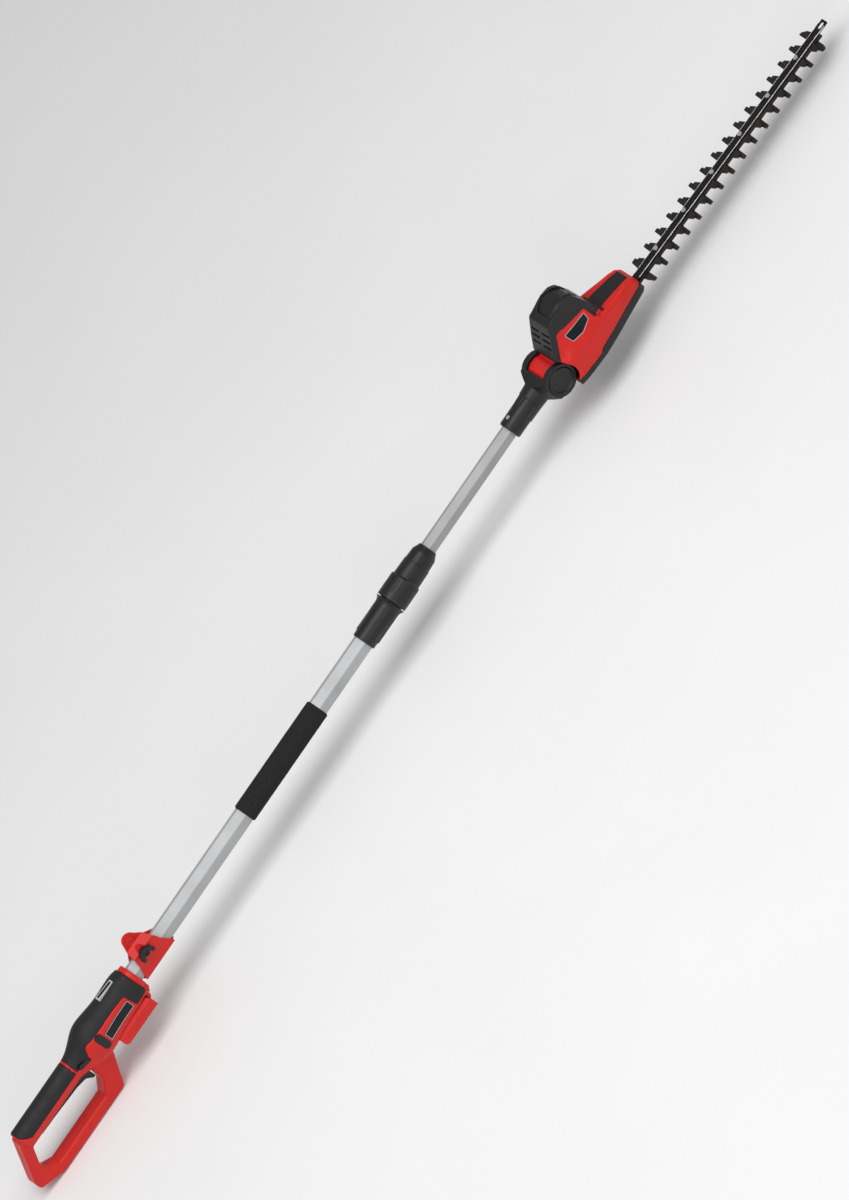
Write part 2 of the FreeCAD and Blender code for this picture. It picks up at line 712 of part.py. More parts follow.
def bracket_plate(outline):
    plate = bracket_sheet().common(side_prism(outline, -30, 30))
    boss = cyl_y(BOLT_BOSS_RADIUS, 0.05, BRACKET_INSIDE + BRACKET_WALL, EYE_X, BOLT_Z)
    boss = boss.common(box(-400, -200, 0, 20, 15.2, 32))
    plate = plate.fuse(boss).cut(cyl_y(EYE_RADIUS, -5, 5, EYE_X, EYE_Z))
    return plate.cut(cyl_y(3.15, -30, 30, EYE_X, BOLT_Z)).removeSplitter()


def bracket_front():
    plate = bracket_plate([
        (-333.2, BRACKET_BOTTOM, 1.5), (-326.0, 6.0, 20.0), (-322.5, 23.0, 8.0), (-316.5, 38.0, 6.0),
        (-312.5, 50.2, 7.5), (-297.5, 50.2, 7.5), (-291.5, 38.0, 6.0), (-280.5, 21.0, 8.0), (-277.5, 6.0,
                                                                                             20.0),
        (-269.0, BRACKET_BOTTOM, 1.5),
    ])
    return plate.mirror(V(0, 0, 0), V(0, 1, 0))


def bracket_rear():
    return bracket_plate([
        (-333.0, BRACKET_BOTTOM, 1.5), (-327.5, 5.6, 1.0), (-316.0, 20.0, 6.0), (-314.0, 30.0, 6.0),
        (-312.3, 49.8, 7.4), (-297.7, 49.8, 7.4), (-295.0, 30.0, 6.0), (-292.0, 20.0, 6.0), (-274.5, 5.6,
                                                                                             1.0),
        (-269.2, BRACKET_BOTTOM, 1.5),
    ])


def bracket_pad():
    """Rubber saddle under the tube, between the two plates."""
    pad = hexagon(OUTER_APOTHEM + 2.0, -333.5, -267.5, 1.0).cut(hexagon(OUTER_APOTHEM + 0.3, -340, -260, 0.8))
    return pad.common(box(-340, -260, -12.9, 12.9, -30, -8.0))


def bracket_bolt():
    head = cyl_y(5.2, 15.5, 19.5, EYE_X, BOLT_Z)
    for i in range(6):
        flat = box(-6, 6, 10, 25, 4.7, 9)
        flat.rotate(V(0, 0, 0), V(0, 1, 0), 60 * i)
        flat.translate(V(EYE_X, 0, BOLT_Z))
        head = head.cut(flat)
    return head.fuse(cyl_y(2.95, -26.0, 15.6, EYE_X, BOLT_Z))


def wing_nut():
    hub = cyl_y(6.2, -23.8, -15.9, EYE_X, BOLT_Z)
    hub = hub.fuse(cyl_y(4.6, -26.4, -23.8, EYE_X, BOLT_Z))
    wings = []
    for side in (-1, 1):
        wing = side_prism([(3.0 * side, 5.0, 1.0), (9.6 * side, 2.6, 3.5), (13.3 * side, -9.0, 2.4),
                           (7.0 * side, -9.8, 2.4), (5.4 * side, -2.0, 1.0)], -24.4, -18.4)
        wing.translate(V(EYE_X, 0, BOLT_Z))
        wings.append(wing)
    nut = hub.fuse(wings)
    return nut.cut(cyl_y(2.95 + PIN_FIT, -40, 0, EYE_X, BOLT_Z)).removeSplitter()


# ---- fork neck ----------------------------------------------------------------------------
def fork_neck():
    socket = turned_x([(522.0, 8.0), (522.0, 14.6), (523.8, 15.7), (586.0, 15.8), (586.0, 8.0)])
    collar = turned_x([(COLLAR_REAR, 8.0), (COLLAR_REAR, 16.8), (586.0, 17.9), (586.0, 8.0)])
    collar = collar.cut(box(COLLAR_REAR - 2, COLLAR_NOTCH_FRONT, -40, 40, 0.5, 16.0))
    outline = [(570.0, 17.0, 0), (602.0, 18.5, 0), (602.0, -18.5, 0), (570.0, -17.0, 0)]
    plan = [(570.0, -17.0, 0), (585.5, -18.5, 5.0), (591.5, -EAR_OUTSIDE, 4.0), (640.0, -EAR_OUTSIDE, 0),
            (640.0, EAR_OUTSIDE, 0), (591.5, EAR_OUTSIDE, 4.0), (585.5, 18.5, 5.0), (570.0, 17.0, 0)]
    flare = turned_x([(570.0, 5.0), (570.0, 17.3), (584.0, 18.4), (596.0, 36.0), (602.0, 36.0), (602.0, 5.0)])
    web = side_prism(outline, -40, 40).common(flare).fuse(cyl_y(EAR_RADIUS, -40, 40, PIVOT_X, 0))
    fork = web.common(flat_prism(plan, -40, 40)).fuse([socket, collar])
    fork = fork.cut(cyl_y(BARREL_RADIUS + 1.0, -EAR_INSIDE, EAR_INSIDE, PIVOT_X, 0))
    fork = fork.cut(box(PIVOT_X - 12.5, 660, -EAR_INSIDE, EAR_INSIDE, -40, 40))
    swept = cyl_y(LOWER_SWEEP_RADIUS, -EAR_INSIDE, EAR_INSIDE, PIVOT_X, 0)
    fork = fork.cut(swept.common(box(PIVOT_X - 30, PIVOT_X, -EAR_INSIDE, EAR_INSIDE, -30, -9.5)))
    fork = fork.cut(hexagon(INNER_APOTHEM, 500, INNER_FRONT, 1.0))
    fork = fork.cut(cyl_x(6.5, INNER_FRONT - 1, 600)).cut(cyl_z(NECK_SCREW_RADIUS, -30, 30, NECK_SCREW_X, 0))
    fork = fork.cut(cyl_z(3.05, 14.0, 30, NECK_SCREW_X, 0)).cut(cyl_z(3.05, -30, -14.0, NECK_SCREW_X, 0))
    for side in (-1, 1):
        low = min(side * 23.4, side * 40)
        high = max(side * 23.4, side * 40)
        fork = fork.cut(cyl_y(BUTTON_RADIUS + 0.35, low, high, PIVOT_X, 0))
    return fork.cut(cyl_y(PIVOT_PIN_RADIUS, -40, 40, PIVOT_X, 0)).removeSplitter()


def dished_disc(side, inner, outer):
    """Round cap with a bevelled rim and a shallow dish, facing side * Y."""
    profile = [(0, inner), (BUTTON_RADIUS, inner), (BUTTON_RADIUS, outer - 1.4), (BUTTON_RADIUS - 1.2, outer),
               (16.8, outer), (15.6, outer - 1.6), (6.0, outer - 2.2), (0, outer - 2.3)]
    points = [V(r, side * y, 0) for r, y in profile]
    face = Part.Face(Part.makePolygon(points + [points[0]]))
    disc = face.revolve(V(0, 0, 0), V(0, 1, 0), 360)
    disc.translate(V(PIVOT_X, 0, 0))
    return disc


def tilt_button():
    return dished_disc(-1, 26.6, 30.8).cut(cyl_y(13.0, -27.6, -26.5, PIVOT_X, 0))


def button_spring():
    spring = coil(11.0, 0.45, 4.1, 2)
    spring.rotate(V(0, 0, 0), V(1, 0, 0), 90)
    spring.translate(V(PIVOT_X, -23.45, 0))
    return spring


def fork_cap():
    return dished_disc(1, 23.5, 30.8)


def pivot_pin():
    pin = cyl_y(PIVOT_PIN_RADIUS, -23.3, 23.3, PIVOT_X, 0)
    return pin.makeChamfer(0.5, [e for e in pin.Edges if e.BoundBox.YLength < 0.01])


def neck_screws():
    screws = []
    for side in (-1, 1):
        screw = screw_y(0, 0, 14.0, 9.2, NECK_SCREW_RADIUS, 3.0, 1.5)
        screw.rotate(V(0, 0, 0), V(1, 0, 0), 90 * side)
        screw.translate(V(NECK_SCREW_X, 0, 0))
        screws.append(screw)
    return screws


# ---- head housing, modelled about the pivot -------------------------------------------------
HEAD_SECTIONS = [
    # x, half width, band bottom, band top, shoulder half width, shoulder height
    (14.0, 35.5, 3.0, 9.0, 24.0, 19.0),
    (26.0, 37.6, 7.0, 14.0, 24.4, 25.0),
    (43.0, 38.4, 9.5, 17.0, 25.6, 43.0),
    (66.0, 38.5, 9.5, 17.0, 25.6, 43.0),
    (94.0, 34.6, 6.5, 13.0, 25.0, 41.0),
    (98.0, 34.0, 6.0, 12.0, 24.9, 10.0),
    (115.0, 30.6, 3.4, 8.6, 24.2, 9.2),
    (150.0, 24.6, -3.0, 1.0, 20.0, 3.0),
    (160.0, 22.6, -5.5, -2.0, 18.0, -0.2),
    (HEAD_FRONT, 18.0, -10.0, -7.0, 13.0, -5.0),
]
HEAD_SCREWS = [(38.0, 20.0), (60.0, -8.0), (146.0, -8.0)]
SKID_SPLIT_REAR = -20.0
SKID_SPLIT_FRONT = -16.0
SKID_BOTTOM = -30.0
DOME_TOP = 74.0
VENT_LEAN = 34.5               # degrees, square to the slanted rear wall
VENT_COUNT = 3
VENT_INSIDE = 3.0              # slit ends, from the middle plane
VENT_OUTSIDE = 21.6
FIRST_VENT_X = 22.6
FIRST_VENT_Z = 38.5
RIM_HEIGHT = 1.2               # rim round the motor cover's inset
RIM_WIDTH = 2.2
INSET_DEPTH = 0.7
INSET_FLOOR = 1.6
LEG_FOOT = 18.7                # height at which the cover's front legs end
SKID_STEP_X = 66.5


def head_section(x, width, band_low, band_high, shoulder, top, inset):
    """Closed faceted section: side, bright band, slope to the shoulder, flat top."""
    rise = min(inset, 1.5)
    half = [(width - 2.0 - inset, SKID_BOTTOM + inset), (width - inset, SKID_BOTTOM + 3.0 + inset),
            (width - inset, band_low - rise), (width - 2.6 - inset, band_high - rise),
            (shoulder - inset, top - inset)]
    points = [V(x, -y, z) for y, z in half] + [V(x, y, z) for y, z in reversed(half)]
    return Part.makePolygon(points + [points[0]])


def head_loft(inset):
    last = len(HEAD_SECTIONS) - 1
    wires = []
    for i, (x, width, low, high, shoulder, top) in enumerate(HEAD_SECTIONS):
        station = x + inset if i == 0 else x - inset if i == last else x
        wires.append(head_section(station, width, low, high, shoulder, top, inset))
    return Part.makeLoft(wires, True, True)


def dome_loft(inset):
    """Motor tower: narrower towards its arched top, with a slanted rear wall."""
    side = side_prism([
        (14.0 + inset, 18.0, 0), (14.0 + inset, 25.0, 3.0), (42.5 + inset, 66.0 - inset, 7.0),
        (58.0, 69.0 - inset, 20.0), (73.0, DOME_TOP - inset, 16.0), (87.0 - inset, 71.0 - inset, 10.0),
        (96.0 - inset, 63.0 - inset, 8.0), (103.0 - inset, 36.0, 8.0),
        (105.0 - inset, 8.0, 0), (94.0, 0.0, 0), (40.0, 0.0, 0),
    ], -50, 50)
    cross = cross_prism([
        (25.8 - inset, -5.0, 0), (25.8 - inset, 43.0, 6.0), (21.8 - inset, DOME_TOP + 1.0 - inset, 7.0),
        (-21.8 + inset, DOME_TOP + 1.0 - inset, 7.0), (-25.8 + inset, 43.0, 6.0), (-25.8 + inset, -5.0, 0),
    ], 0, 120)
    return side.common(cross)


def ear_sweep():
    """Space that the fork's ears sweep beside the hinge barrel."""
    right = cyl_y(EAR_RADIUS + 0.9, -60, -BARREL_HALF_WIDTH)
    left = cyl_y(EAR_RADIUS + 0.9, BARREL_HALF_WIDTH, 60)
    return right.fuse(left)


def cover_above():
    """Region above the seam between red housing and black motor cover. Its front leg ends above the band."""
    above = side_prism([
        (0.0, 17.5, 0), (19.5, 17.5, 0), (25.0, 25.0, 2.0), (41.0, 48.5, 3.0), (49.5, 48.5, 4.0), (58.0,
                                                                                                   45.5, 4.0),
        (92.0, 40.0, 2.0), (93.2, 8.0, 2.0), (108.2, 5.0, 0), (108.2, 90.0, 0), (0.0, 90.0, 0),
    ], -60, 60)
    for low, high in ((-60.0, -24.5), (24.5, 60.0)):
        above = above.cut(box(86.0, 112.0, low, high, 0.0, LEG_FOOT))
    return above


def head_skin():
    outside = head_loft(0.0).fuse(dome_loft(0.0))
    inside = head_loft(HEAD_WALL).fuse(dome_loft(HEAD_WALL))
    return outside.cut(inside).cut(ear_sweep())


def skid_region(extra=0.0):
    return side_prism([
        (0.0, SKID_SPLIT_REAR + extra, 0), (SKID_STEP_X - 5.0, SKID_SPLIT_REAR + extra, 0),
        (SKID_STEP_X, SKID_SPLIT_FRONT + extra, 0), (200.0, SKID_SPLIT_FRONT + extra, 0),
        (200.0, -60.0, 0), (0.0, -60.0, 0),
    ], -60, 60)


def blade_slot():
    return box(120.0, 200.0, -10.2, 10.2, -28.4, -20.6)


def hinge_barrel():
    barrel = cyl_y(BARREL_RADIUS, -BARREL_HALF_WIDTH, BARREL_HALF_WIDTH)
    arm = side_prism([(0.0, 14.0, 0), (18.0, 16.5, 0), (24.0, 20.0, 0), (24.0, -19.5, 0), (0.0, -19.5, 0)],
                     -BARREL_HALF_WIDTH + 0.2, BARREL_HALF_WIDTH - 0.2)
    body = barrel.fuse(arm)
    body = body.cut(cyl_y(PIVOT_PIN_RADIUS + PIN_FIT, -40, 40))
    return body.cut(cyl_y(15.0, 16.9, 40))


def head_housing(side, skin):
    half = box(-50, 300, -60, 0, -60, 100) if side < 0 else box(-50, 300, 0, 60, -60, 100)
    shell = skin.cut(cover_above()).cut(skid_region())
    shell = shell.fuse(hinge_barrel().cut(head_loft(HEAD_WALL).common(box(24, 300, -60, 60, -60, 60))))
    for x, z in HEAD_SCREWS:
        reach = 40.0
        low, high = (-reach, -5.0) if side < 0 else (5.0, reach)
        shell = shell.fuse(cyl_y(3.4, low, high, x, z).common(head_loft(0.5)).cut(motor_room()))
    shell = shell.common(half)
    shell = shell.cut(cyl_y(15.0, 16.9, 40))
    shell = shell.cut(front_panel_region(0.0))
    shell = shell.cut(head_plate_region()).cut(blade_slot())
    shell = shell.cut(cyl_y(PIVOT_PIN_RADIUS + PIN_FIT, -40, 40))
    if side > 0:
        for x, z in HEAD_SCREWS:
            shell = shell.cut(cyl_y(1.9, 0, 60, x, z))
            shell = shell.cut(cyl_y(3.5, head_screw_seat(x), 60, x, z))
    else:
        for x, z in HEAD_SCREWS:
            shell = shell.cut(cyl_y(1.7, -12.0, 0, x, z))
    return largest(shell)


def head_screw_seat(x):
    return 28.0 if x < 100 else 19.0


def motor_room():
    return fuse([cyl_z(22.0, -3.0, 65.0, MOTOR_X, 0), box(50.0, 140.0, -30.0, 30.0, -19.0, 0.5)])


def housing_screws():
    screws = []
    for x, z in HEAD_SCREWS:
        seat = head_screw_seat(x)
        tip = seat - 21.0 if x < 100 else 6.0
        screws.append(screw_y(x, z, seat, tip, 1.7, 3.2, 2.2))
    return screws


def front_panel_region(gap):
    """Thin wedge of the black inset in the front part's top."""
    outline = [(108.4 + gap, -15.6 + gap, 1.5), (161.0 - gap, -12.2 + gap, 2.5), (161.0 - gap,
                                                                                  12.2 - gap, 2.5),
               (108.4 + gap, 15.6 - gap, 1.5)]
    column = flat_prism(outline, -20, 40)
    return column.common(head_loft(0.0).cut(head_loft(1.2)))


def front_panel():
    return front_panel_region(0.1)


def head_plate_region():
    """Shield-shaped plates in both sides."""
    outline = [(48.0, 39.3, 1.0), (49.3, 25.8, 2.0), (67.8, 22.6, 8.0), (85.2, 25.8, 2.0), (87.8, 36.6, 1.0)]
    return side_prism(outline, -60, 60).common(head_loft(0.0).cut(head_loft(0.9)))


def head_plates():
    return head_plate_region()


def motor_cover(skin):
    """Black cover with three slits on each side of its rear wall and a raised rim round the inset."""
    cover = skin.common(cover_above())
    for i in range(VENT_COUNT):
        for low, high in ((-VENT_OUTSIDE, -VENT_INSIDE), (VENT_INSIDE, VENT_OUTSIDE)):
            slit = box(-8.0, 8.0, low, high, -1.3, 1.3)
            slit.rotate(V(0, 0, 0), V(0, 1, 0), VENT_LEAN)
            slit.translate(V(FIRST_VENT_X + 5.4 * i, 0, FIRST_VENT_Z + 7.8 * i))
            cover = cover.cut(slit)
    rim = dome_panel_column(-RIM_WIDTH).common(dome_loft(-RIM_HEIGHT).cut(dome_loft(1.0)))
    cover = cover.fuse(rim).cut(dome_panel_column(0.0).cut(dome_loft(INSET_FLOOR)))
    return largest(cover)


def dome_panel_column(gap):
    """Upright column over the inset: rounded at the rear, widest at the crest, with a waist in front."""
    return flat_prism([
        (53.0 + gap, -9.5, 5.0), (58.0 + gap, -14.5 + gap, 6.0), (73.0, -17.6 + gap, 12.0), (92.0,
                                                                                             -12.6 + gap, 8.0),
        (112.0, -12.6 + gap, 0), (112.0, 12.6 - gap, 0), (92.0, 12.6 - gap, 8.0), (73.0, 17.6 - gap, 12.0),
        (58.0 + gap, 14.5 - gap, 6.0), (53.0 + gap, 9.5, 5.0),
    ], 54.0, 82.0)


def dome_panel():
    """Inset that follows the motor cover's arched top and turns down its front."""
    return dome_panel_column(0.1).common(dome_loft(INSET_DEPTH).cut(dome_loft(INSET_FLOOR)))


def skid_base():
    outside = head_loft(0.0).cut(ear_sweep())
    base = outside.common(skid_region(-0.1))
    tray = head_loft(HEAD_WALL).common(box(60.0, HEAD_FRONT - 3, -60, 60, -40, 0))
    rear = head_loft(HEAD_WALL).common(box(20.0, 57.0, -60, 60, -40, 0))
    yoke_room = box(GEAR_X - 34.0, GEAR_X + 48.0, -17.0, 17.0, -28.3, 0)
    base = base.cut(tray).cut(rear).cut(yoke_room).cut(blade_slot())
    return base.removeSplitter()


# ---- drive --------------------------------------------------------------------------------
def gear_wheel(teeth, root, tip, root_share, tip_share, z0, z1):
    """Spur gear with straight-sided teeth; the shares are tooth widths over the pitch."""
    pitch = 2 * math.pi / teeth
    points = []
    for i in range(teeth):
        middle = i * pitch
        for radius, share in ((root, -root_share), (tip, -tip_share), (tip, tip_share), (root, root_share)):
            angle = middle + share * pitch / 2
            points.append(V(radius * math.cos(angle), radius * math.sin(angle), z0))
    face = Part.Face(Part.makePolygon(points + [points[0]]))
    return face.extrude(V(0, 0, z1 - z0))


def pinion():
    gear = gear_wheel(PINION_TEETH, 3.5, 5.4, 0.52, 0.20, -13.6, -6.4)
    gear = gear.fuse(cyl_z(3.6, -6.5, -4.9))
    gear.translate(V(MOTOR_X, 0, 0))
    return gear.cut(cyl_z(2.2, -20, 0, MOTOR_X, 0))


def drive_gear():
    wheel = gear_wheel(GEAR_TEETH, 21.1, 23.3, 0.50, 0.20, -13.0, -7.0)
    wheel.rotate(V(0, 0, 0), V(0, 0, 1), 180.0 / GEAR_TEETH + 180.0)
    hub = cyl_z(7.5, -7.1, -5.2)
    pins = [cyl_z(CRANK_PIN_RADIUS, -22.0, -12.9, 0, CRANK_THROW), cyl_z(CRANK_PIN_RADIUS, -22.0, -12.9,
                                                                         0, -CRANK_THROW)]
    tips = [cyl_z(CRANK_PIN_RADIUS - 0.7, -27.4, -21.9, 0, CRANK_THROW),
            cyl_z(CRANK_PIN_RADIUS - 0.7, -27.4, -21.9, 0, -CRANK_THROW)]
    gear = wheel.fuse([hub] + pins + tips)
    for i in range(5):
        hole = cyl_z(3.2, -20, 0, 14.4, 0)
        hole.rotate(V(0, 0, 0), V(0, 0, 1), 72 * i + 18 + 36)
        gear = gear.cut(hole.common(cyl_z(30, -13.2, -6.9)))
    gear = gear.cut(cyl_z(3.0 + PIN_FIT, -12.9, 0))
    gear.translate(V(GEAR_X, 0, 0))
    return gear


def gear_shaft():
    return cyl_z(3.0, -12.7, 1.9, GEAR_X, 0)


def gear_case():
    """Aluminium plate that carries the motor and the gear's shaft."""
    plate = flat_prism([(54.0, -26.0, 5.0), (100.0, -26.5, 6.0), (131.0, -17.0, 6.0), (131.0, 17.0, 6.0),
                        (100.0, 26.5, 6.0), (54.0, 26.0, 5.0)], -4.6, -1.0)
    boss = cyl_z(7.0, -1.1, 2.0, GEAR_X, 0)
    plate = plate.fuse(boss).cut(cyl_z(3.0, -10, 5, GEAR_X, 0))
    return plate.cut(cyl_z(8.0, -10, 5, MOTOR_X, 0))


def motor_bearing():
    ring = cyl_z(7.9, -4.5, -1.1, MOTOR_X, 0)
    return ring.cut(cyl_z(2.2 + PIN_FIT, -10, 5, MOTOR_X, 0))


def motor_can():
    can = cyl_z(MOTOR_RADIUS, -0.9, 51.0, MOTOR_X, 0)
    can = can.makeFillet(2.0, [e for e in can.Edges if e.BoundBox.ZMin > 50.9])
    can = can.cut(cyl_z(15.6, 1.6, 48.6, MOTOR_X, 0))
    can = can.cut(cyl_z(2.2 + PIN_FIT, -10, 60, MOTOR_X, 0))
    for i in range(4):
        port = box(8.0, 13.0, -3.0, 3.0, 47.0, 52.0)
        port.rotate(V(0, 0, 0), V(0, 0, 1), 90 * i + 45)
        port.translate(V(MOTOR_X, 0, 0))
        can = can.cut(port)
    return can


def rotor():
    shaft = cyl_z(2.2, -13.4, 61.0, MOTOR_X, 0)
    core = cyl_z(14.6, 8.0, 42.0, MOTOR_X, 0)
    for i in range(6):
        slot = box(10.0, 16.0, -0.9, 0.9, 7.0, 43.0)
        slot.rotate(V(0, 0, 0), V(0, 0, 1), 60 * i)
        slot.translate(V(MOTOR_X, 0, 0))
        core = core.cut(slot)
    return shaft.fuse(core)


def cooling_fan():
    hub = cyl_z(5.0, 53.0, 60.0, MOTOR_X, 0)
    disc = cyl_z(15.0, 53.0, 54.2, MOTOR_X, 0)
    blades = []
    for i in range(9):
        blade = box(4.0, 14.9, -0.6, 0.6, 54.1, 60.0)
        blade.rotate(V(0, 0, 0), V(0, 0, 1), 40 * i)
        blade.translate(V(MOTOR_X, 0, 0))
        blades.append(blade)
    return hub.fuse([disc] + blades).cut(cyl_z(2.2, 50, 65, MOTOR_X, 0))


# ---- blades, modelled about the pivot -------------------------------------------------------
YOKE_HALF_LENGTH = 21.0
YOKE_HALF_WIDTH = 14.0
WINDOW_HALF_LENGTH = 15.2
WINDOW_HALF_WIDTH = 9.7
SLOT_HALF_LENGTH = CRANK_THROW + 3.2
SLOT_HALF_WIDTH = 2.6

# Tooth outlines beside the bar: along the bar from the tooth's middle, away from the bar, radius.
LONG_TOOTH_OUTLINE = [(-1.6, 7.0, 0), (-1.4, 11.0, 0), (-0.2, LONG_TOOTH, 1.8), (5.8, LONG_TOOTH, 1.8),
                      (6.4, 20.0, 3.0), (9.8, 10.0, 0), (10.4, 7.0, 0)]
SHORT_TOOTH_OUTLINE = [(0.2, 7.0, 0), (0.8, 10.0, 0), (3.3, SHORT_TOOTH, 1.0), (8.9, SHORT_TOOTH, 1.2),
                       (12.4, 10.2, 1.0), (12.9, 7.0, 0)]
FIRST_LONG_OUTLINE = [(-4.2, 7.0, 0), (-4.0, 11.0, 0), (-1.6, LONG_TOOTH, 2.6), (6.2, LONG_TOOTH, 2.2),
                      (6.6, 20.0, 3.0), (9.8, 10.0, 0), (10.4, 7.0, 0)]
FIRST_GUARD_OUTLINE = [(-0.4, 7.0, 0), (-0.4, 11.0, 0), (0.0, LONG_TOOTH, 2.0), (5.4, LONG_TOOTH, 2.4),
                       (9.4, 16.0, 6.0), (10.8, 7.0, 0)]
LAST_FIN_OUTLINE = [(-1.8, 7.0, 0), (-1.6, 12.0, 0), (-1.2, LONG_TOOTH, 1.4), (3.2, LONG_TOOTH - 1.0, 2.5),
                    (9.0, 20.0, 8.0), (11.2, 7.0, 0)]
LAST_GUARD_OUTLINE = [(-4.6, 7.0, 0), (-4.6, 20.0, 5.0), (-2.6, LONG_TOOTH, 3.6), (4.2, LONG_TOOTH, 3.2),
                      (5.4, 20.0, 3.0), (9.4, 7.0, 0)]


def tooth(outline, x, side, low, top):
    """A tooth on one side of the bar; the right one is the left one turned by half a turn."""
    return flat_prism([(x + side * a, side * b, r) for a, b, r in outline], low, top)


def bolt_spots():
    return [BLADE_BOLT_X + BLADE_BOLT_PITCH * i for i in range(BLADE_BOLT_COUNT)]


def blade_strip(top):
    """Spine and drive yoke with its window."""
    low = top - BLADE_THICKNESS
    spine = box(GEAR_X + YOKE_HALF_LENGTH - 2.0, BLADE_END, -SPINE_HALF_WIDTH, SPINE_HALF_WIDTH, low, top)
    yoke = flat_prism([
        (GEAR_X - YOKE_HALF_LENGTH, -YOKE_HALF_WIDTH, 4.0), (GEAR_X + YOKE_HALF_LENGTH, -YOKE_HALF_WIDTH,
                                                             4.0),
        (GEAR_X + YOKE_HALF_LENGTH, YOKE_HALF_WIDTH, 4.0), (GEAR_X - YOKE_HALF_LENGTH, YOKE_HALF_WIDTH, 4.0),
    ], low, top)
    length, width = WINDOW_HALF_LENGTH, WINDOW_HALF_WIDTH
    window = flat_prism([(GEAR_X - length, -width, 4.0), (GEAR_X + length, -width, 4.0),
                         (GEAR_X + length, width, 4.0), (GEAR_X - length, width, 4.0)], low - 1, top + 1)
    return spine.fuse(yoke).cut(window)


def bolt_slots(top):
    slots = []
    length, width = SLOT_HALF_LENGTH, SLOT_HALF_WIDTH
    for x in bolt_spots():
        slots.append(flat_prism([(x - length, -width, 2.5), (x + length, -width, 2.5), (x + length,
                                                                                        width, 2.5),
                                 (x - length, width, 2.5)], top - 3, top + 1))
    return slots


def blade(top, first, usual, last):
    """A toothed blade; first, usual and last give the outlines for the left and right sides."""
    low = top - BLADE_THICKNESS
    teeth = []
    for i in range(TOOTH_COUNT):
        left, right = first if i == 0 else last if i == TOOTH_COUNT - 1 else usual
        x = FIRST_TOOTH_X + TOOTH_PITCH * i
        if left is not None:
            teeth.append(tooth(left, x, 1, low, top))
        if right is not None:
            teeth.append(tooth(right, x, -1, low, top))
    return blade_strip(top).fuse(teeth).removeSplitter().cut(bolt_slots(top))


def upper_blade():
    """Short ground cutting teeth."""
    short = SHORT_TOOTH_OUTLINE
    return blade(UPPER_BLADE_TOP, (short, None), (short, short), (None, short))


def lower_blade():
    """Long blunt teeth that reach past the cutting teeth."""
    long_one = LONG_TOOTH_OUTLINE
    return blade(LOWER_BLADE_TOP, (FIRST_LONG_OUTLINE, FIRST_GUARD_OUTLINE), (long_one, long_one),
                 (LAST_FIN_OUTLINE, LAST_GUARD_OUTLINE))


def guide_bar():
    """Bar over the blades, with a bevelled top, bolt holes and a slot in its tip."""
    w = BAR_HALF_WIDTH
    bar = cross_prism([(-w, BAR_BOTTOM, 0), (w, BAR_BOTTOM, 0), (w, BAR_TOP - 0.9, 0), (w - 0.9, BAR_TOP, 0),
                       (-w + 0.9, BAR_TOP, 0), (-w, BAR_TOP - 0.9, 0)], GEAR_X + 33.0, BAR_END)
    end = flat_prism([(GEAR_X, -w, 0), (BAR_END, -w, 2.0), (BAR_END, w, 2.0), (GEAR_X, w, 0)], -30, -10)
    slot = flat_prism([(BAR_END - 16.0, 0.0, 1.0), (BAR_END - 11.0, -3.8, 2.0), (BAR_END - 3.1, -3.8, 3.0),
                       (BAR_END - 3.1, 3.8, 3.0), (BAR_END - 11.0, 3.8, 2.0)], -30, -10)
    bar = bar.common(end).cut(slot)
    for x in bolt_spots():
        bar = bar.cut(cyl_z(2.0, -30, -10, x, 0))
    return bar


def hex_head(radius, z0, z1, x):
    corners = []
    for i in range(6):
        angle = math.radians(60 * i)
        corners.append((x + radius * math.cos(angle), radius * math.sin(angle), 0.3))
    return flat_prism(corners, z0, z1)


def blade_bolts():
    bolts = []
    for x in bolt_spots():
        shank = cyl_z(2.0, -30.0, BAR_TOP, x, 0)
        head = hex_head(3.9, BAR_TOP, BAR_TOP + 2.2, x)
        bolts.append(shank.fuse(head))
    return bolts


def blade_nuts():
    nuts = []
    for x in bolt_spots():
        nuts.append(hex_head(3.9, -30.2, -27.95, x).cut(cyl_z(2.0, -40, 0, x, 0)))
    return nuts


def detent_ring():
    """Notched ring in the hinge barrel that holds the head at its steps."""
    ring = cyl_y(14.9, 17.0, 19.7).cut(cyl_y(6.0, 0, 40))
    for i in range(12):
        notch = box(9.0, 16.0, 18.4, 21.0, -1.3, 1.3)
        notch.rotate(V(0, 0, 0), V(0, 1, 0), 30 * i)
        ring = ring.cut(notch)
    return ring


# ---- write every piece ----------------------------------------------------------------------
outside = housing_outside()
inside = housing_inside()
skin = head_skin()

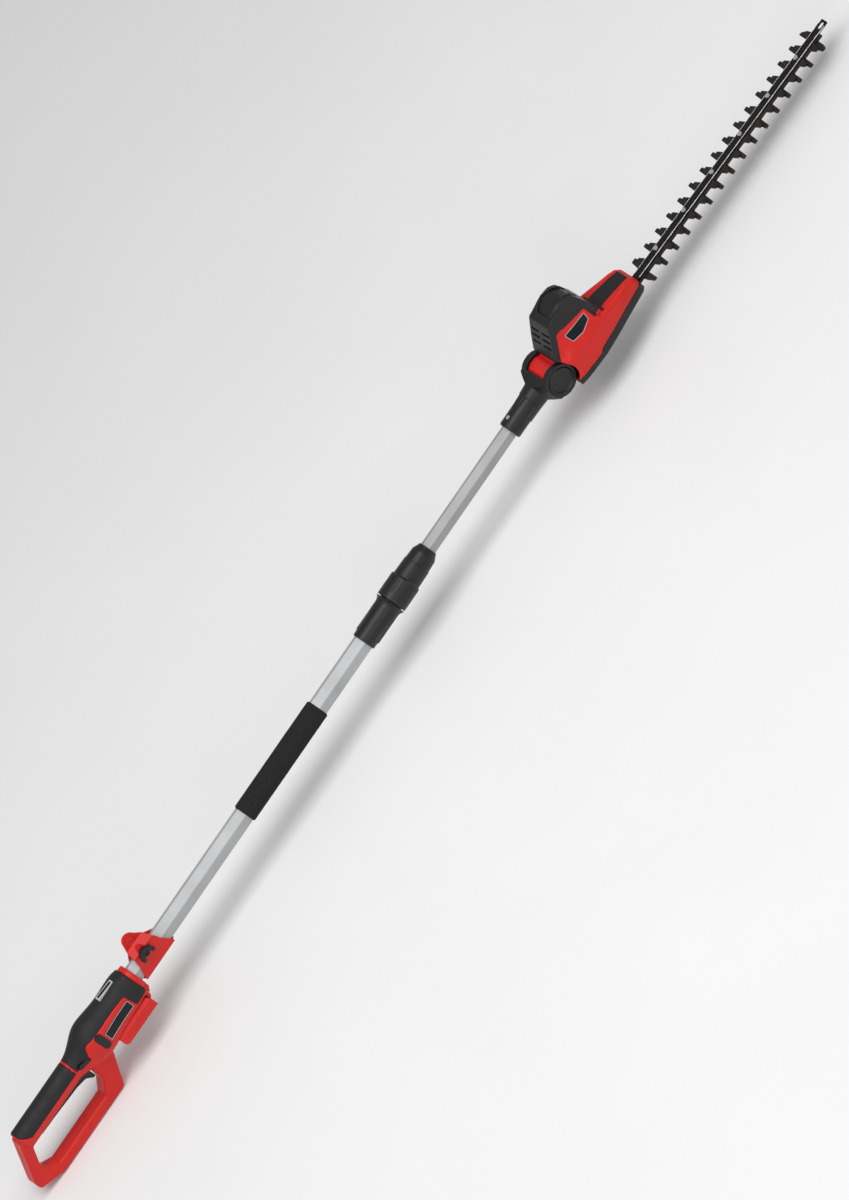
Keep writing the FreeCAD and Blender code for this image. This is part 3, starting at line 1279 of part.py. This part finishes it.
handle_pieces = {
    "handle_shell_right": handle_shell(-1, outside, inside),
    "handle_shell_left": handle_shell(1, outside, inside),
    "grip_sleeve": sleeve_skin(),
    "body_cover": body_cover(),
    "handle_screws": handle_screws(),
    "side_plugs": side_plugs(),
    "side_plates": side_plates(),
    "window_frame": window_frame(),
    "window_lens": window_lens(),
    "pole_collar": pole_collar(),
    "battery_dock": battery_dock(),
    "terminal_block": terminal_block(),
    "terminal_blades": terminal_blades(),
    "trigger": trigger(),
    "trigger_pin": trigger_pin(),
    "trigger_spring": trigger_spring(),
    "switch_box": switch_box(),
    "lock_off_button": lock_off_button(),
    "lock_spring": lock_spring(),
    "control_board": control_board(),
}
pole_pieces = {
    "outer_tube": outer_tube(),
    "inner_tube": inner_tube(),
    "slide_plug": slide_plug(),
    "guide_bush": guide_bush(),
    "coiled_cable": coiled_cable(),
    "foam_grip": foam_grip(),
    "clamp_sleeve": clamp_sleeve(),
    "clamp_collet": clamp_collet(),
    "clamp_nut": clamp_nut(),
    "bracket_front": bracket_front(),
    "bracket_rear": bracket_rear(),
    "bracket_pad": bracket_pad(),
    "bracket_bolt": bracket_bolt(),
    "wing_nut": wing_nut(),
    "fork_neck": fork_neck(),
    "fork_cap": fork_cap(),
    "tilt_button": tilt_button(),
    "button_spring": button_spring(),
    "pivot_pin": pivot_pin(),
    "neck_screws": Part.makeCompound(neck_screws()),
}
head_pieces = {
    "head_housing_right": head_housing(-1, skin),
    "head_housing_left": head_housing(1, skin),
    "motor_cover": motor_cover(skin),
    "head_panels": Part.makeCompound([dome_panel(), front_panel()]),
    "head_plates": head_plates(),
    "skid_base": skid_base(),
    "housing_screws": Part.makeCompound(housing_screws()),
    "detent_ring": detent_ring(),
    "motor_can": motor_can(),
    "motor_bearing": motor_bearing(),
    "gear_case": gear_case(),
    "gear_shaft": gear_shaft(),
    "rotor": rotor(),
    "cooling_fan": cooling_fan(),
    "pinion": pinion(),
    "drive_gear": drive_gear(),
    "guide_bar": guide_bar(),
    "upper_blade": upper_blade(),
    "lower_blade": lower_blade(),
    "blade_fasteners": Part.makeCompound(blade_bolts() + blade_nuts()),
}
for node, shape in {**handle_pieces, **pole_pieces}.items():
    save(shape, node)
for node, shape in head_pieces.items():
    save(in_head(shape), node)
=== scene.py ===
import json
import math

import bmesh
import bpy
from mathutils import Matrix, Vector, noise


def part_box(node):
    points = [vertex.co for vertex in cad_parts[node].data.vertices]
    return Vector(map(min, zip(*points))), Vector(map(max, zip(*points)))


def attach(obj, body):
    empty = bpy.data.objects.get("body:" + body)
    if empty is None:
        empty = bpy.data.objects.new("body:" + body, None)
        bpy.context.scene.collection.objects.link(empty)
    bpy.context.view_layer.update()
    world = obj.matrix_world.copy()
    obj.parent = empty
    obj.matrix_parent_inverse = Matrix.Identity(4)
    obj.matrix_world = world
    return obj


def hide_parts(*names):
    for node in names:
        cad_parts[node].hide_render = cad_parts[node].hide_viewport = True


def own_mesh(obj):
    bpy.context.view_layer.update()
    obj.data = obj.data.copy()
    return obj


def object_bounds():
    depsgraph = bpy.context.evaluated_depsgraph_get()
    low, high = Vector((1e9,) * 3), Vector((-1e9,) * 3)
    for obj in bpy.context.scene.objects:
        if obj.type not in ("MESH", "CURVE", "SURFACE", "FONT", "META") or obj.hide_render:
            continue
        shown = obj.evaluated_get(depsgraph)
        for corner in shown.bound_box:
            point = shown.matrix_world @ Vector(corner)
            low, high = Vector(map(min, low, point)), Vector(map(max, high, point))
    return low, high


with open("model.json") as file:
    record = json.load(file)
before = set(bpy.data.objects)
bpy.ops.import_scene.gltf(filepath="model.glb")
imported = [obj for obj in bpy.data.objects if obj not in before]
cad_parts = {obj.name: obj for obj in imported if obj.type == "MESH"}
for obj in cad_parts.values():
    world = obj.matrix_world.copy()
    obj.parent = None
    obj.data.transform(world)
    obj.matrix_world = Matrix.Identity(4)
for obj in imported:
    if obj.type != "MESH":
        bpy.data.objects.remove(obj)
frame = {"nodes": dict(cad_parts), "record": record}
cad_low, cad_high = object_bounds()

MM = 0.001
NODE_BODY = {}
for body_name, node_names in frame["record"]["behaviour"]["bodies"].items():
    for node_name in node_names:
        NODE_BODY[node_name] = body_name

# ---- materials ----------------------------------------------------------------------------


class Recipe:
    """A node material being put together. Every texture is measured in metres on the object itself."""

    def __init__(self, name):
        self.material = bpy.data.materials.new(name)
        self.material.use_nodes = True
        self.tree = self.material.node_tree
        self.shader = self.tree.nodes["Principled BSDF"]
        self.place = self.tree.nodes.new("ShaderNodeTexCoord").outputs["Object"]

    def link(self, out, into):
        self.tree.links.new(out, into)

    def stretched(self, x, y, z):
        mapping = self.tree.nodes.new("ShaderNodeMapping")
        mapping.inputs["Scale"].default_value = (x, y, z)
        self.link(self.place, mapping.inputs["Vector"])
        return mapping.outputs["Vector"]

    def noise(self, size, detail=3.0, roughness=0.55, where=None):
        """Noise whose blobs are about size metres across."""
        node = self.tree.nodes.new("ShaderNodeTexNoise")
        node.inputs["Scale"].default_value = 1.0 / size
        node.inputs["Detail"].default_value = detail
        node.inputs["Roughness"].default_value = roughness
        self.link(where or self.place, node.inputs["Vector"])
        return node.outputs["Fac"]

    def cells(self, size):
        """Distance to the middle of cells about size metres across."""
        node = self.tree.nodes.new("ShaderNodeTexVoronoi")
        node.inputs["Scale"].default_value = 1.0 / size
        self.link(self.place, node.inputs["Vector"])
        return node.outputs["Distance"]

    def ramp(self, factor, stops):
        node = self.tree.nodes.new("ShaderNodeValToRGB")
        marks = node.color_ramp.elements
        while len(marks) < len(stops):
            marks.new(0.5)
        for mark, (position, colour) in zip(marks, stops):
            mark.position = position
            mark.color = (*colour, 1.0)
        self.link(factor, node.inputs["Fac"])
        return node.outputs["Color"]

    def range(self, factor, low, high, start=0.0, end=1.0):
        node = self.tree.nodes.new("ShaderNodeMapRange")
        node.inputs["From Min"].default_value = start
        node.inputs["From Max"].default_value = end
        node.inputs["To Min"].default_value = low
        node.inputs["To Max"].default_value = high
        self.link(factor, node.inputs["Value"])
        return node.outputs["Result"]

    def sum(self, a, b, weight=1.0):
        scaled = self.tree.nodes.new("ShaderNodeMath")
        scaled.operation = "MULTIPLY_ADD"
        self.link(b, scaled.inputs[0])
        scaled.inputs[1].default_value = weight
        self.link(a, scaled.inputs[2])
        return scaled.outputs["Value"]

    def mixed(self, factor, a, b):
        node = self.tree.nodes.new("ShaderNodeMix")
        node.data_type = "RGBA"
        self.link(factor, node.inputs["Factor"])
        self.link(a, node.inputs["A"])
        self.link(b, node.inputs["B"])
        return node.outputs["Result"]

    def colour(self, out):
        self.link(out, self.shader.inputs["Base Color"])

    def rough(self, out):
        self.link(out, self.shader.inputs["Roughness"])

    def relief(self, height, depth, strength=1.0):
        node = self.tree.nodes.new("ShaderNodeBump")
        node.inputs["Distance"].default_value = depth
        node.inputs["Strength"].default_value = strength
        self.link(height, node.inputs["Height"])
        self.link(node.outputs["Normal"], self.shader.inputs["Normal"])

    def set(self, **values):
        for name, value in values.items():
            self.shader.inputs[name.replace("_", " ")].default_value = value
        return self.material


def moulded_red():
    r = Recipe("red_housing")
    r.colour(r.ramp(r.noise(0.045, 4), [(0.3, (0.55, 0.012, 0.009)), (0.7, (0.64, 0.017, 0.012))]))
    grain = r.noise(0.00045, 2)
    r.rough(r.range(r.sum(r.noise(0.012, 5), grain, 0.3), 0.30, 0.46, 0.35, 0.95))
    r.relief(grain, 0.00006, 0.35)
    return r.set(Specular_IOR_Level=0.30)


def moulded_black():
    r = Recipe("black_plastic")
    r.colour(r.ramp(r.noise(0.03, 4), [(0.3, (0.0045, 0.0045, 0.0055)), (0.75, (0.008, 0.008, 0.0095))]))
    grain = r.noise(0.0005, 2)
    r.rough(r.range(r.sum(r.noise(0.01, 4), grain, 0.4), 0.36, 0.50, 0.4, 1.1))
    r.relief(grain, 0.00008, 0.5)
    return r.set(Specular_IOR_Level=0.42)


def soft_rubber():
    r = Recipe("soft_black")
    r.colour(r.ramp(r.noise(0.025, 4), [(0.3, (0.008, 0.008, 0.0095)), (0.75, (0.013, 0.013, 0.015))]))
    pebble = r.cells(0.0007)
    r.rough(r.range(r.sum(r.noise(0.012, 4), pebble, 0.3), 0.50, 0.68, 0.3, 0.9))
    r.relief(pebble, 0.00008, 0.5)
    return r.set(Specular_IOR_Level=0.36)


def label_plate():
    r = Recipe("dark_plate")
    r.colour(r.ramp(r.noise(0.006, 3), [(0.3, (0.004, 0.006, 0.009)), (0.8, (0.008, 0.011, 0.015))]))
    r.rough(r.range(r.noise(0.004, 4), 0.16, 0.30))
    r.relief(r.noise(0.0012, 2), 0.00002, 0.3)
    return r.set(Specular_IOR_Level=0.25)


def light_frame():
    r = Recipe("grey_frame")
    r.colour(r.ramp(r.noise(0.008, 3), [(0.3, (0.40, 0.42, 0.42)), (0.8, (0.52, 0.54, 0.54))]))
    r.rough(r.range(r.noise(0.002, 4), 0.35, 0.5))
    r.relief(r.noise(0.0004, 2), 0.00004, 0.4)
    return r.set(Specular_IOR_Level=0.5)


def drawn_aluminium(name, dark, light, low, high):
    """Anodised tube: fine lines run along it from the die."""
    r = Recipe(name)
    lines = r.noise(0.0006, 3, 0.6, r.stretched(0.006, 1.0, 1.0))
    cloud = r.noise(0.05, 4)
    r.colour(r.ramp(r.sum(cloud, lines, 0.35), [(0.45, dark), (0.9, light)]))
    r.rough(r.range(lines, low, high, 0.3, 0.7))
    r.relief(lines, 0.00002, 0.35)
    return r.set(Metallic=0.35, Specular_IOR_Level=0.3)


def closed_cell_foam():
    r = Recipe("foam")
    r.colour(r.ramp(r.noise(0.004, 5, 0.7), [(0.3, (0.012, 0.012, 0.013)), (0.75, (0.022, 0.022, 0.024))]))
    pores = r.sum(r.cells(0.0009), r.noise(0.002, 4, 0.7), 0.8)
    r.rough(r.range(pores, 0.78, 0.95))
    r.relief(pores, 0.0003, 0.7)
    return r.set(Specular_IOR_Level=0.2)


def cable_rubber():
    r = Recipe("cable")
    r.colour(r.ramp(r.noise(0.005, 3), [(0.3, (0.012, 0.012, 0.012)), (0.8, (0.022, 0.022, 0.022))]))
    r.rough(r.range(r.noise(0.001, 3), 0.5, 0.7))
    return r.set(Specular_IOR_Level=0.4)


def plated_steel():
    r = Recipe("steel")
    r.colour(r.ramp(r.noise(0.003, 4), [(0.3, (0.66, 0.66, 0.67)), (0.75, (0.84, 0.84, 0.85))]))
    scratches = r.noise(0.0004, 4, 0.7, r.stretched(0.25, 1.0, 0.6))
    r.rough(r.range(scratches, 0.22, 0.42, 0.3, 0.75))
    r.relief(scratches, 0.00002, 0.5)
    return r.set(Metallic=1.0)


def plain_brass():
    r = Recipe("brass")
    r.colour(r.ramp(r.noise(0.003, 4), [(0.3, (0.55, 0.38, 0.14)), (0.75, (0.74, 0.54, 0.24))]))
    r.rough(r.range(r.noise(0.001, 4), 0.25, 0.45))
    return r.set(Metallic=1.0)


def circuit_board():
    r = Recipe("board")
    r.colour(r.ramp(r.cells(0.002), [(0.2, (0.02, 0.10, 0.04)), (0.6, (0.03, 0.16, 0.06))]))
    r.rough(r.range(r.noise(0.002, 3), 0.3, 0.5))
    return r.set(Specular_IOR_Level=0.5)


def bar_black():
    """Blackened steel bar with lengthwise rolling marks."""
    r = Recipe("bar_steel")
    marks = r.noise(0.0005, 3, 0.6, r.stretched(0.02, 1.0, 1.0))
    base = r.ramp(r.noise(0.02, 4), [(0.3, (0.004, 0.004, 0.0045)), (0.8, (0.008, 0.0075, 0.008))])
    r.colour(base)
    r.rough(r.range(marks, 0.22, 0.34, 0.3, 0.7))
    r.relief(marks, 0.00003, 0.4)
    return r.set(Specular_IOR_Level=0.22)


def blade_black():
    """Hardened blade steel: oily brown-black scale with paler grinding scratches."""
    r = Recipe("blade_steel")
    cloud = r.noise(0.009, 5, 0.6)
    base = r.ramp(cloud, [
        (0.3, (0.010, 0.007, 0.006)), (0.55, (0.019, 0.013, 0.011)), (0.8, (0.034, 0.025, 0.021))])
    lines = r.noise(0.0004, 3, 0.6, r.stretched(0.6, 0.1, 1.0))
    r.colour(r.mixed(r.range(lines, 0.0, 0.35, 0.60, 0.78), base, r.ramp(cloud, [
        (0.3, (0.12, 0.10, 0.09)), (0.7, (0.20, 0.18, 0.16))])))
    r.rough(r.range(r.sum(cloud, lines, 0.4), 0.26, 0.44, 0.4, 1.0))
    r.relief(lines, 0.00003, 0.4)
    return r.set(Specular_IOR_Level=0.25)


FINISH = {
    "red_housing": moulded_red(),
    "soft_black": soft_rubber(),
    "black_plastic": moulded_black(),
    "dark_plate": label_plate(),
    "grey_frame": light_frame(),
    "outer_aluminium": drawn_aluminium("outer_aluminium", (0.36, 0.365, 0.37), (0.45, 0.455, 0.46), 0.44, 0.56),
    "inner_aluminium": drawn_aluminium("inner_aluminium", (0.30, 0.297, 0.295), (0.38, 0.377, 0.375), 0.44, 0.56),
    "foam": closed_cell_foam(),
    "cable": cable_rubber(),
    "steel": plated_steel(),
    "brass": plain_brass(),
    "board": circuit_board(),
    "bar_steel": bar_black(),
    "blade_steel": blade_black(),
}
SLOT = {}
for name, node in frame["nodes"].items():
    SLOT[name] = node.material_slots[0].material.name.split(".")[0]
    node.material_slots[0].material = FINISH[SLOT[name]]

# ---- pieces made from the frame's own shapes -----------------------------------------------


def piece(name, mesh, body, slot):
    """Puts a finished mesh on a body with a slot's finish."""
    shown = bpy.data.objects.new(name, mesh)
    bpy.context.scene.collection.objects.link(shown)
    mesh.materials.clear()
    mesh.materials.append(FINISH[slot])
    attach(shown, body)
    return shown


def softened(node, voxel, rounds):
    """The node's own shape with every edge rounded as a mould leaves it."""
    work = bpy.data.objects.new("work", frame["nodes"][node].data.copy())
    bpy.context.scene.collection.objects.link(work)
    remesh = work.modifiers.new("grid", "REMESH")
    remesh.mode = "VOXEL"
    remesh.voxel_size = voxel
    smooth = work.modifiers.new("round", "SMOOTH")
    smooth.factor = 0.5
    smooth.iterations = rounds
    graph = bpy.context.evaluated_depsgraph_get()
    mesh = bpy.data.meshes.new_from_object(work.evaluated_get(graph))
    bpy.data.objects.remove(work)
    mesh.shade_smooth()
    shown = piece("moulded_" + node, mesh, NODE_BODY[node], SLOT[node])
    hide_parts(node)


def lofted(name, rings, body, slot, closed):
    """A skin through rings of points: closed on itself like a tube's wall, or capped at its two ends."""
    grid = bmesh.new()
    rows = [[grid.verts.new(point) for point in ring] for ring in rings]
    pairs = list(zip(rows, rows[1:]))
    if closed:
        pairs.append((rows[-1], rows[0]))
    else:
        grid.faces.new(rows[0])
        grid.faces.new(rows[-1])
    for row, after in pairs:
        for j in range(len(row)):
            k = (j + 1) % len(row)
            grid.faces.new((row[j], row[k], after[k], after[j]))
    bmesh.ops.recalc_face_normals(grid, faces=grid.faces)
    mesh = bpy.data.meshes.new(name)
    grid.to_mesh(mesh)
    grid.free()
    mesh.shade_smooth()
    return piece(name, mesh, body, slot)


def dished_cap(node, name, inner):
    """Turned cap over the pivot, in millimetres: a rounded bead round its rim, then a shallow dish."""
    low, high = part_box(node)
    side = -1 if low[1] < 0 else 1
    centre_x = (low[0] + high[0]) / 2
    centre_z = (low[2] + high[2]) / 2
    radius = (high[0] - low[0]) / 2 * 1000
    outer = max(abs(low[1]), abs(high[1])) * 1000
    hub = 0.6
    chamfer = 0.6
    bead = 1.5
    bead_steps = 12
    around = 144
    profile = [(hub, inner), (radius - chamfer, inner), (radius, inner + 0.5), (radius, outer - 2.0)]
    for i in range(bead_steps + 1):
        turn = math.pi * i / bead_steps
        profile.append((radius - bead + bead * math.cos(turn), outer - bead + bead * math.sin(turn)))
    profile += [(radius - 3.5, outer - 2.1), (radius - 5.5, outer - 2.45), (radius / 2, outer - 2.7),
                (hub, outer - 2.8)]
    rings = []
    for r, y in profile:
        rings.append([(centre_x + r * math.cos(2 * math.pi * j / around) * MM, side * y * MM,
                       centre_z + r * math.sin(2 * math.pi * j / around) * MM) for j in range(around)])
    shown = lofted(name, rings, NODE_BODY[node], SLOT[node], False)
    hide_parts(node)


def foam_profile(low_x, high_x, radius):
    """Stations (x, radius) along the foam grip: quarter-round ends and a straight middle."""
    end_round = 0.0026
    end_steps = 8
    middle_steps = 84
    length = high_x - low_x
    rear = []
    for i in range(end_steps + 1):
        turn = math.pi / 2 * i / end_steps
        rear.append((low_x + end_round * (1 - math.sin(turn)), radius - end_round * (1 - math.cos(turn))))
    rear.sort()
    middle = [(low_x + end_round + (length - 2 * end_round) * i / middle_steps, radius)
              for i in range(1, middle_steps)]
    front = [(high_x - (x - low_x), r) for x, r in reversed(rear)]
    return rear + middle + front


def foam_sleeve():
    """Closed-cell foam tube: soft rounded ends, a slightly wavy skin and a bore that hugs the six-sided tube."""
    low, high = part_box("foam_grip")
    centre_z = (high[2] + low[2]) / 2
    apothem = 0.0128
    bore_corner = 0.0143
    wave_depth = 0.00012
    waves_along = 160
    waves_around = 2.6
    around = 120
    angles = [2 * math.pi * j / around for j in range(around)]
    rings = []
    for x, r in foam_profile(low[0], high[0], (high[1] - low[1]) / 2):
        ring = []
        for a in angles:
            spot = Vector((x * waves_along, math.cos(a) * waves_around, math.sin(a) * waves_around))
            dip = wave_depth * (1 + noise.noise(spot))
            ring.append((x, math.cos(a) * (r - dip), centre_z + math.sin(a) * (r - dip)))
        rings.append(ring)
    for x in (high[0], low[0]):
        ring = []
        for a in angles:
            from_flat = (a + math.pi / 6) % (math.pi / 3) - math.pi / 6
            r = min(apothem / math.cos(from_flat), bore_corner)
            ring.append((x, math.cos(a) * r, centre_z + math.sin(a) * r))
        rings.append(ring)
    shown = lofted("foam_sleeve", rings, "handle", "foam", True)
    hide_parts("foam_grip")


def label_border(node, name, width, proud):
    """Thin light frame round each plate of a node, laid on the plate's outer face."""
    outward = 0.7
    source = bmesh.new()
    source.from_mesh(frame["nodes"][node].data)
    bmesh.ops.remove_doubles(source, verts=source.verts, dist=0.00001)
    bmesh.ops.recalc_face_normals(source, faces=source.faces)
    grid = bmesh.new()
    twins = {}
    for face in source.faces:
        if abs(face.normal.y) < outward or face.normal.y * face.calc_center_median().y <= 0:
            continue
        corners = []
        for vert in face.verts:
            if vert.index not in twins:
                twins[vert.index] = grid.verts.new(vert.co)
            corners.append(twins[vert.index])
        grid.faces.new(corners)
    source.free()
    grid.normal_update()
    inset = bmesh.ops.inset_region(grid, faces=list(grid.faces), thickness=width, use_even_offset=True,
                                   use_boundary=True)
    ring = set(inset["faces"])
    bmesh.ops.delete(grid, geom=[face for face in grid.faces if face not in ring], context="FACES")
    raised = bmesh.ops.extrude_face_region(grid, geom=list(grid.faces))["geom"]
    for part in raised:
        if isinstance(part, bmesh.types.BMVert):
            part.co.y += math.copysign(proud, part.co.y)
    bmesh.ops.recalc_face_normals(grid, faces=grid.faces)
    mesh = bpy.data.meshes.new(name)
    grid.to_mesh(mesh)
    grid.free()
    piece(name, mesh, NODE_BODY[node], "grey_frame")


def bar_highlight_strips():
    """Strips of bright steel that run along both sides of the guide bar, just clear of its corners: a bevel shape
    whose bright steel is a painted highlight, standing in for the highlight line along the bar's edges.
    """
    pivot = Vector((0.613, 0.0, 0.0))
    droop = Matrix.Rotation(math.radians(2.1), 3, "Y")
    start, end = 0.1660, 0.5780
    steps = 40
    profile = [(5.9, -21.15), (6.25, -21.08), (6.46, -21.4), (6.46, -22.4), (6.25, -22.8), (6.0, -22.2)]
    for side, name in ((-1, "bar_highlight_right"), (1, "bar_highlight_left")):
        rings = []
        for i in range(steps + 1):
            x = start + (end - start) * i / steps
            rings.append([pivot + droop @ Vector((x, side * y * MM, z * MM)) for y, z in profile])
        # the steel finish on these strips is a painted highlight along the bar's edges
        lofted(name, rings, "head", "steel", False)


def squeezed(node):
    """The coil as its own copy of the node's mesh, put on its body in place of the node."""
    mesh = frame["nodes"][node].data.copy()
    mesh.name = "pressed_" + node
    shown = piece("pressed_" + node, mesh, NODE_BODY[node], SLOT[node])
    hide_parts(node)
    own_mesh(shown)


COARSE = 0.0008
FINE = 0.0005
THIN = 0.0006
for node in ("handle_shell_left", "handle_shell_right", "grip_sleeve", "body_cover", "head_housing_left",
             "head_housing_right", "skid_base"):
    softened(node, COARSE, 3)
softened("motor_cover", THIN, 2)
for node in ("trigger", "lock_off_button", "pole_collar", "battery_dock", "clamp_nut", "clamp_sleeve", "fork_neck",
             "wing_nut"):
    softened(node, FINE, 2)
dished_cap("tilt_button", "tilt_button_cap", 26.6)
dished_cap("fork_cap", "fork_end_cap", 23.5)
foam_sleeve()
for node, name in (("side_plates", "side_plate_border"), ("head_plates", "head_plate_border")):
    label_border(node, name, 0.0007, 0.00022)
bar_highlight_strips()
squeezed("button_spring")
squeezed("lock_spring")

# ---- floor, light and camera ---------------------------------------------------------------


def pale_floor():
    r = Recipe("pale_floor")
    r.colour(r.ramp(r.noise(0.4, 3), [(0.3, (0.80, 0.80, 0.80)), (0.8, (0.83, 0.83, 0.83))]))
    r.rough(r.range(r.noise(0.02, 3), 0.7, 0.85))
    return r.material


def floor():
    mesh = bpy.data.meshes.new("floor")
    grid = bmesh.new()
    bmesh.ops.create_grid(grid, x_segments=8, y_segments=8, size=12.0)
    grid.to_mesh(mesh)
    grid.free()
    shown = bpy.data.objects.new("floor", mesh)
    bpy.context.scene.collection.objects.link(shown)
    shown.location.z = cad_low.z - 0.001
    mesh.materials.append(pale_floor())


def area_light(name, place, aim, width, height, power):
    lamp = bpy.data.lights.new(name, "AREA")
    lamp.shape = "RECTANGLE"
    lamp.size = width
    lamp.size_y = height
    lamp.energy = power
    shown = bpy.data.objects.new(name, lamp)
    shown.location = place
    shown.rotation_euler = (Vector(aim) - Vector(place)).to_track_quat("-Z", "Y").to_euler()
    bpy.context.scene.collection.objects.link(shown)


def studio_light():
    world = bpy.data.worlds.new("studio")
    world.use_nodes = True
    world.node_tree.nodes["Background"].inputs["Color"].default_value = (1.0, 1.0, 1.0, 1.0)
    world.node_tree.nodes["Background"].inputs["Strength"].default_value = 0.42
    bpy.context.scene.world = world
    area_light("overhead", (0.3, -0.9, 2.9), (0.3, 0.0, 0.0), 5.0, 1.5, 82)
    area_light("front_fill", (-0.6, -3.2, 1.6), (0.1, 0.0, 0.0), 2.4, 1.2, 22)


def photo_camera():
    """Looks down at the near side from a long way off, rolled so that the pole climbs across the frame."""
    elevation = math.radians(40.0)
    azimuth = math.radians(-2.0)
    roll = math.radians(55.33)
    distance = 30.0
    frame_height = 1.56
    middle_right = 0.1864
    middle_up = 0.2092
    sensor = 36.0
    back = Vector((math.sin(azimuth) * math.cos(elevation), -math.cos(azimuth) * math.cos(elevation),
                   math.sin(elevation)))
    along = Vector((1.0, 0.0, 0.0))
    along = (along - back * along.dot(back)).normalized()
    across = back.cross(along)
    right = along * math.cos(roll) - across * math.sin(roll)
    up = along * math.sin(roll) + across * math.cos(roll)
    lens = bpy.data.cameras.new("camera")
    lens.sensor_fit = "VERTICAL"
    lens.sensor_height = sensor
    lens.sensor_width = sensor
    lens.lens = sensor * distance / frame_height
    lens.clip_start = 1.0
    lens.clip_end = 200.0
    shown = bpy.data.objects.new("camera", lens)
    target = right * middle_right + up * middle_up
    turn = Matrix((right, up, back)).transposed().to_4x4()
    shown.matrix_world = Matrix.Translation(target + back * distance) @ turn
    bpy.context.scene.collection.objects.link(shown)
    bpy.context.scene.camera = shown


floor()
studio_light()
photo_camera()
bpy.context.scene.view_settings.view_transform = "Standard"

bpy.context.view_layer.update()
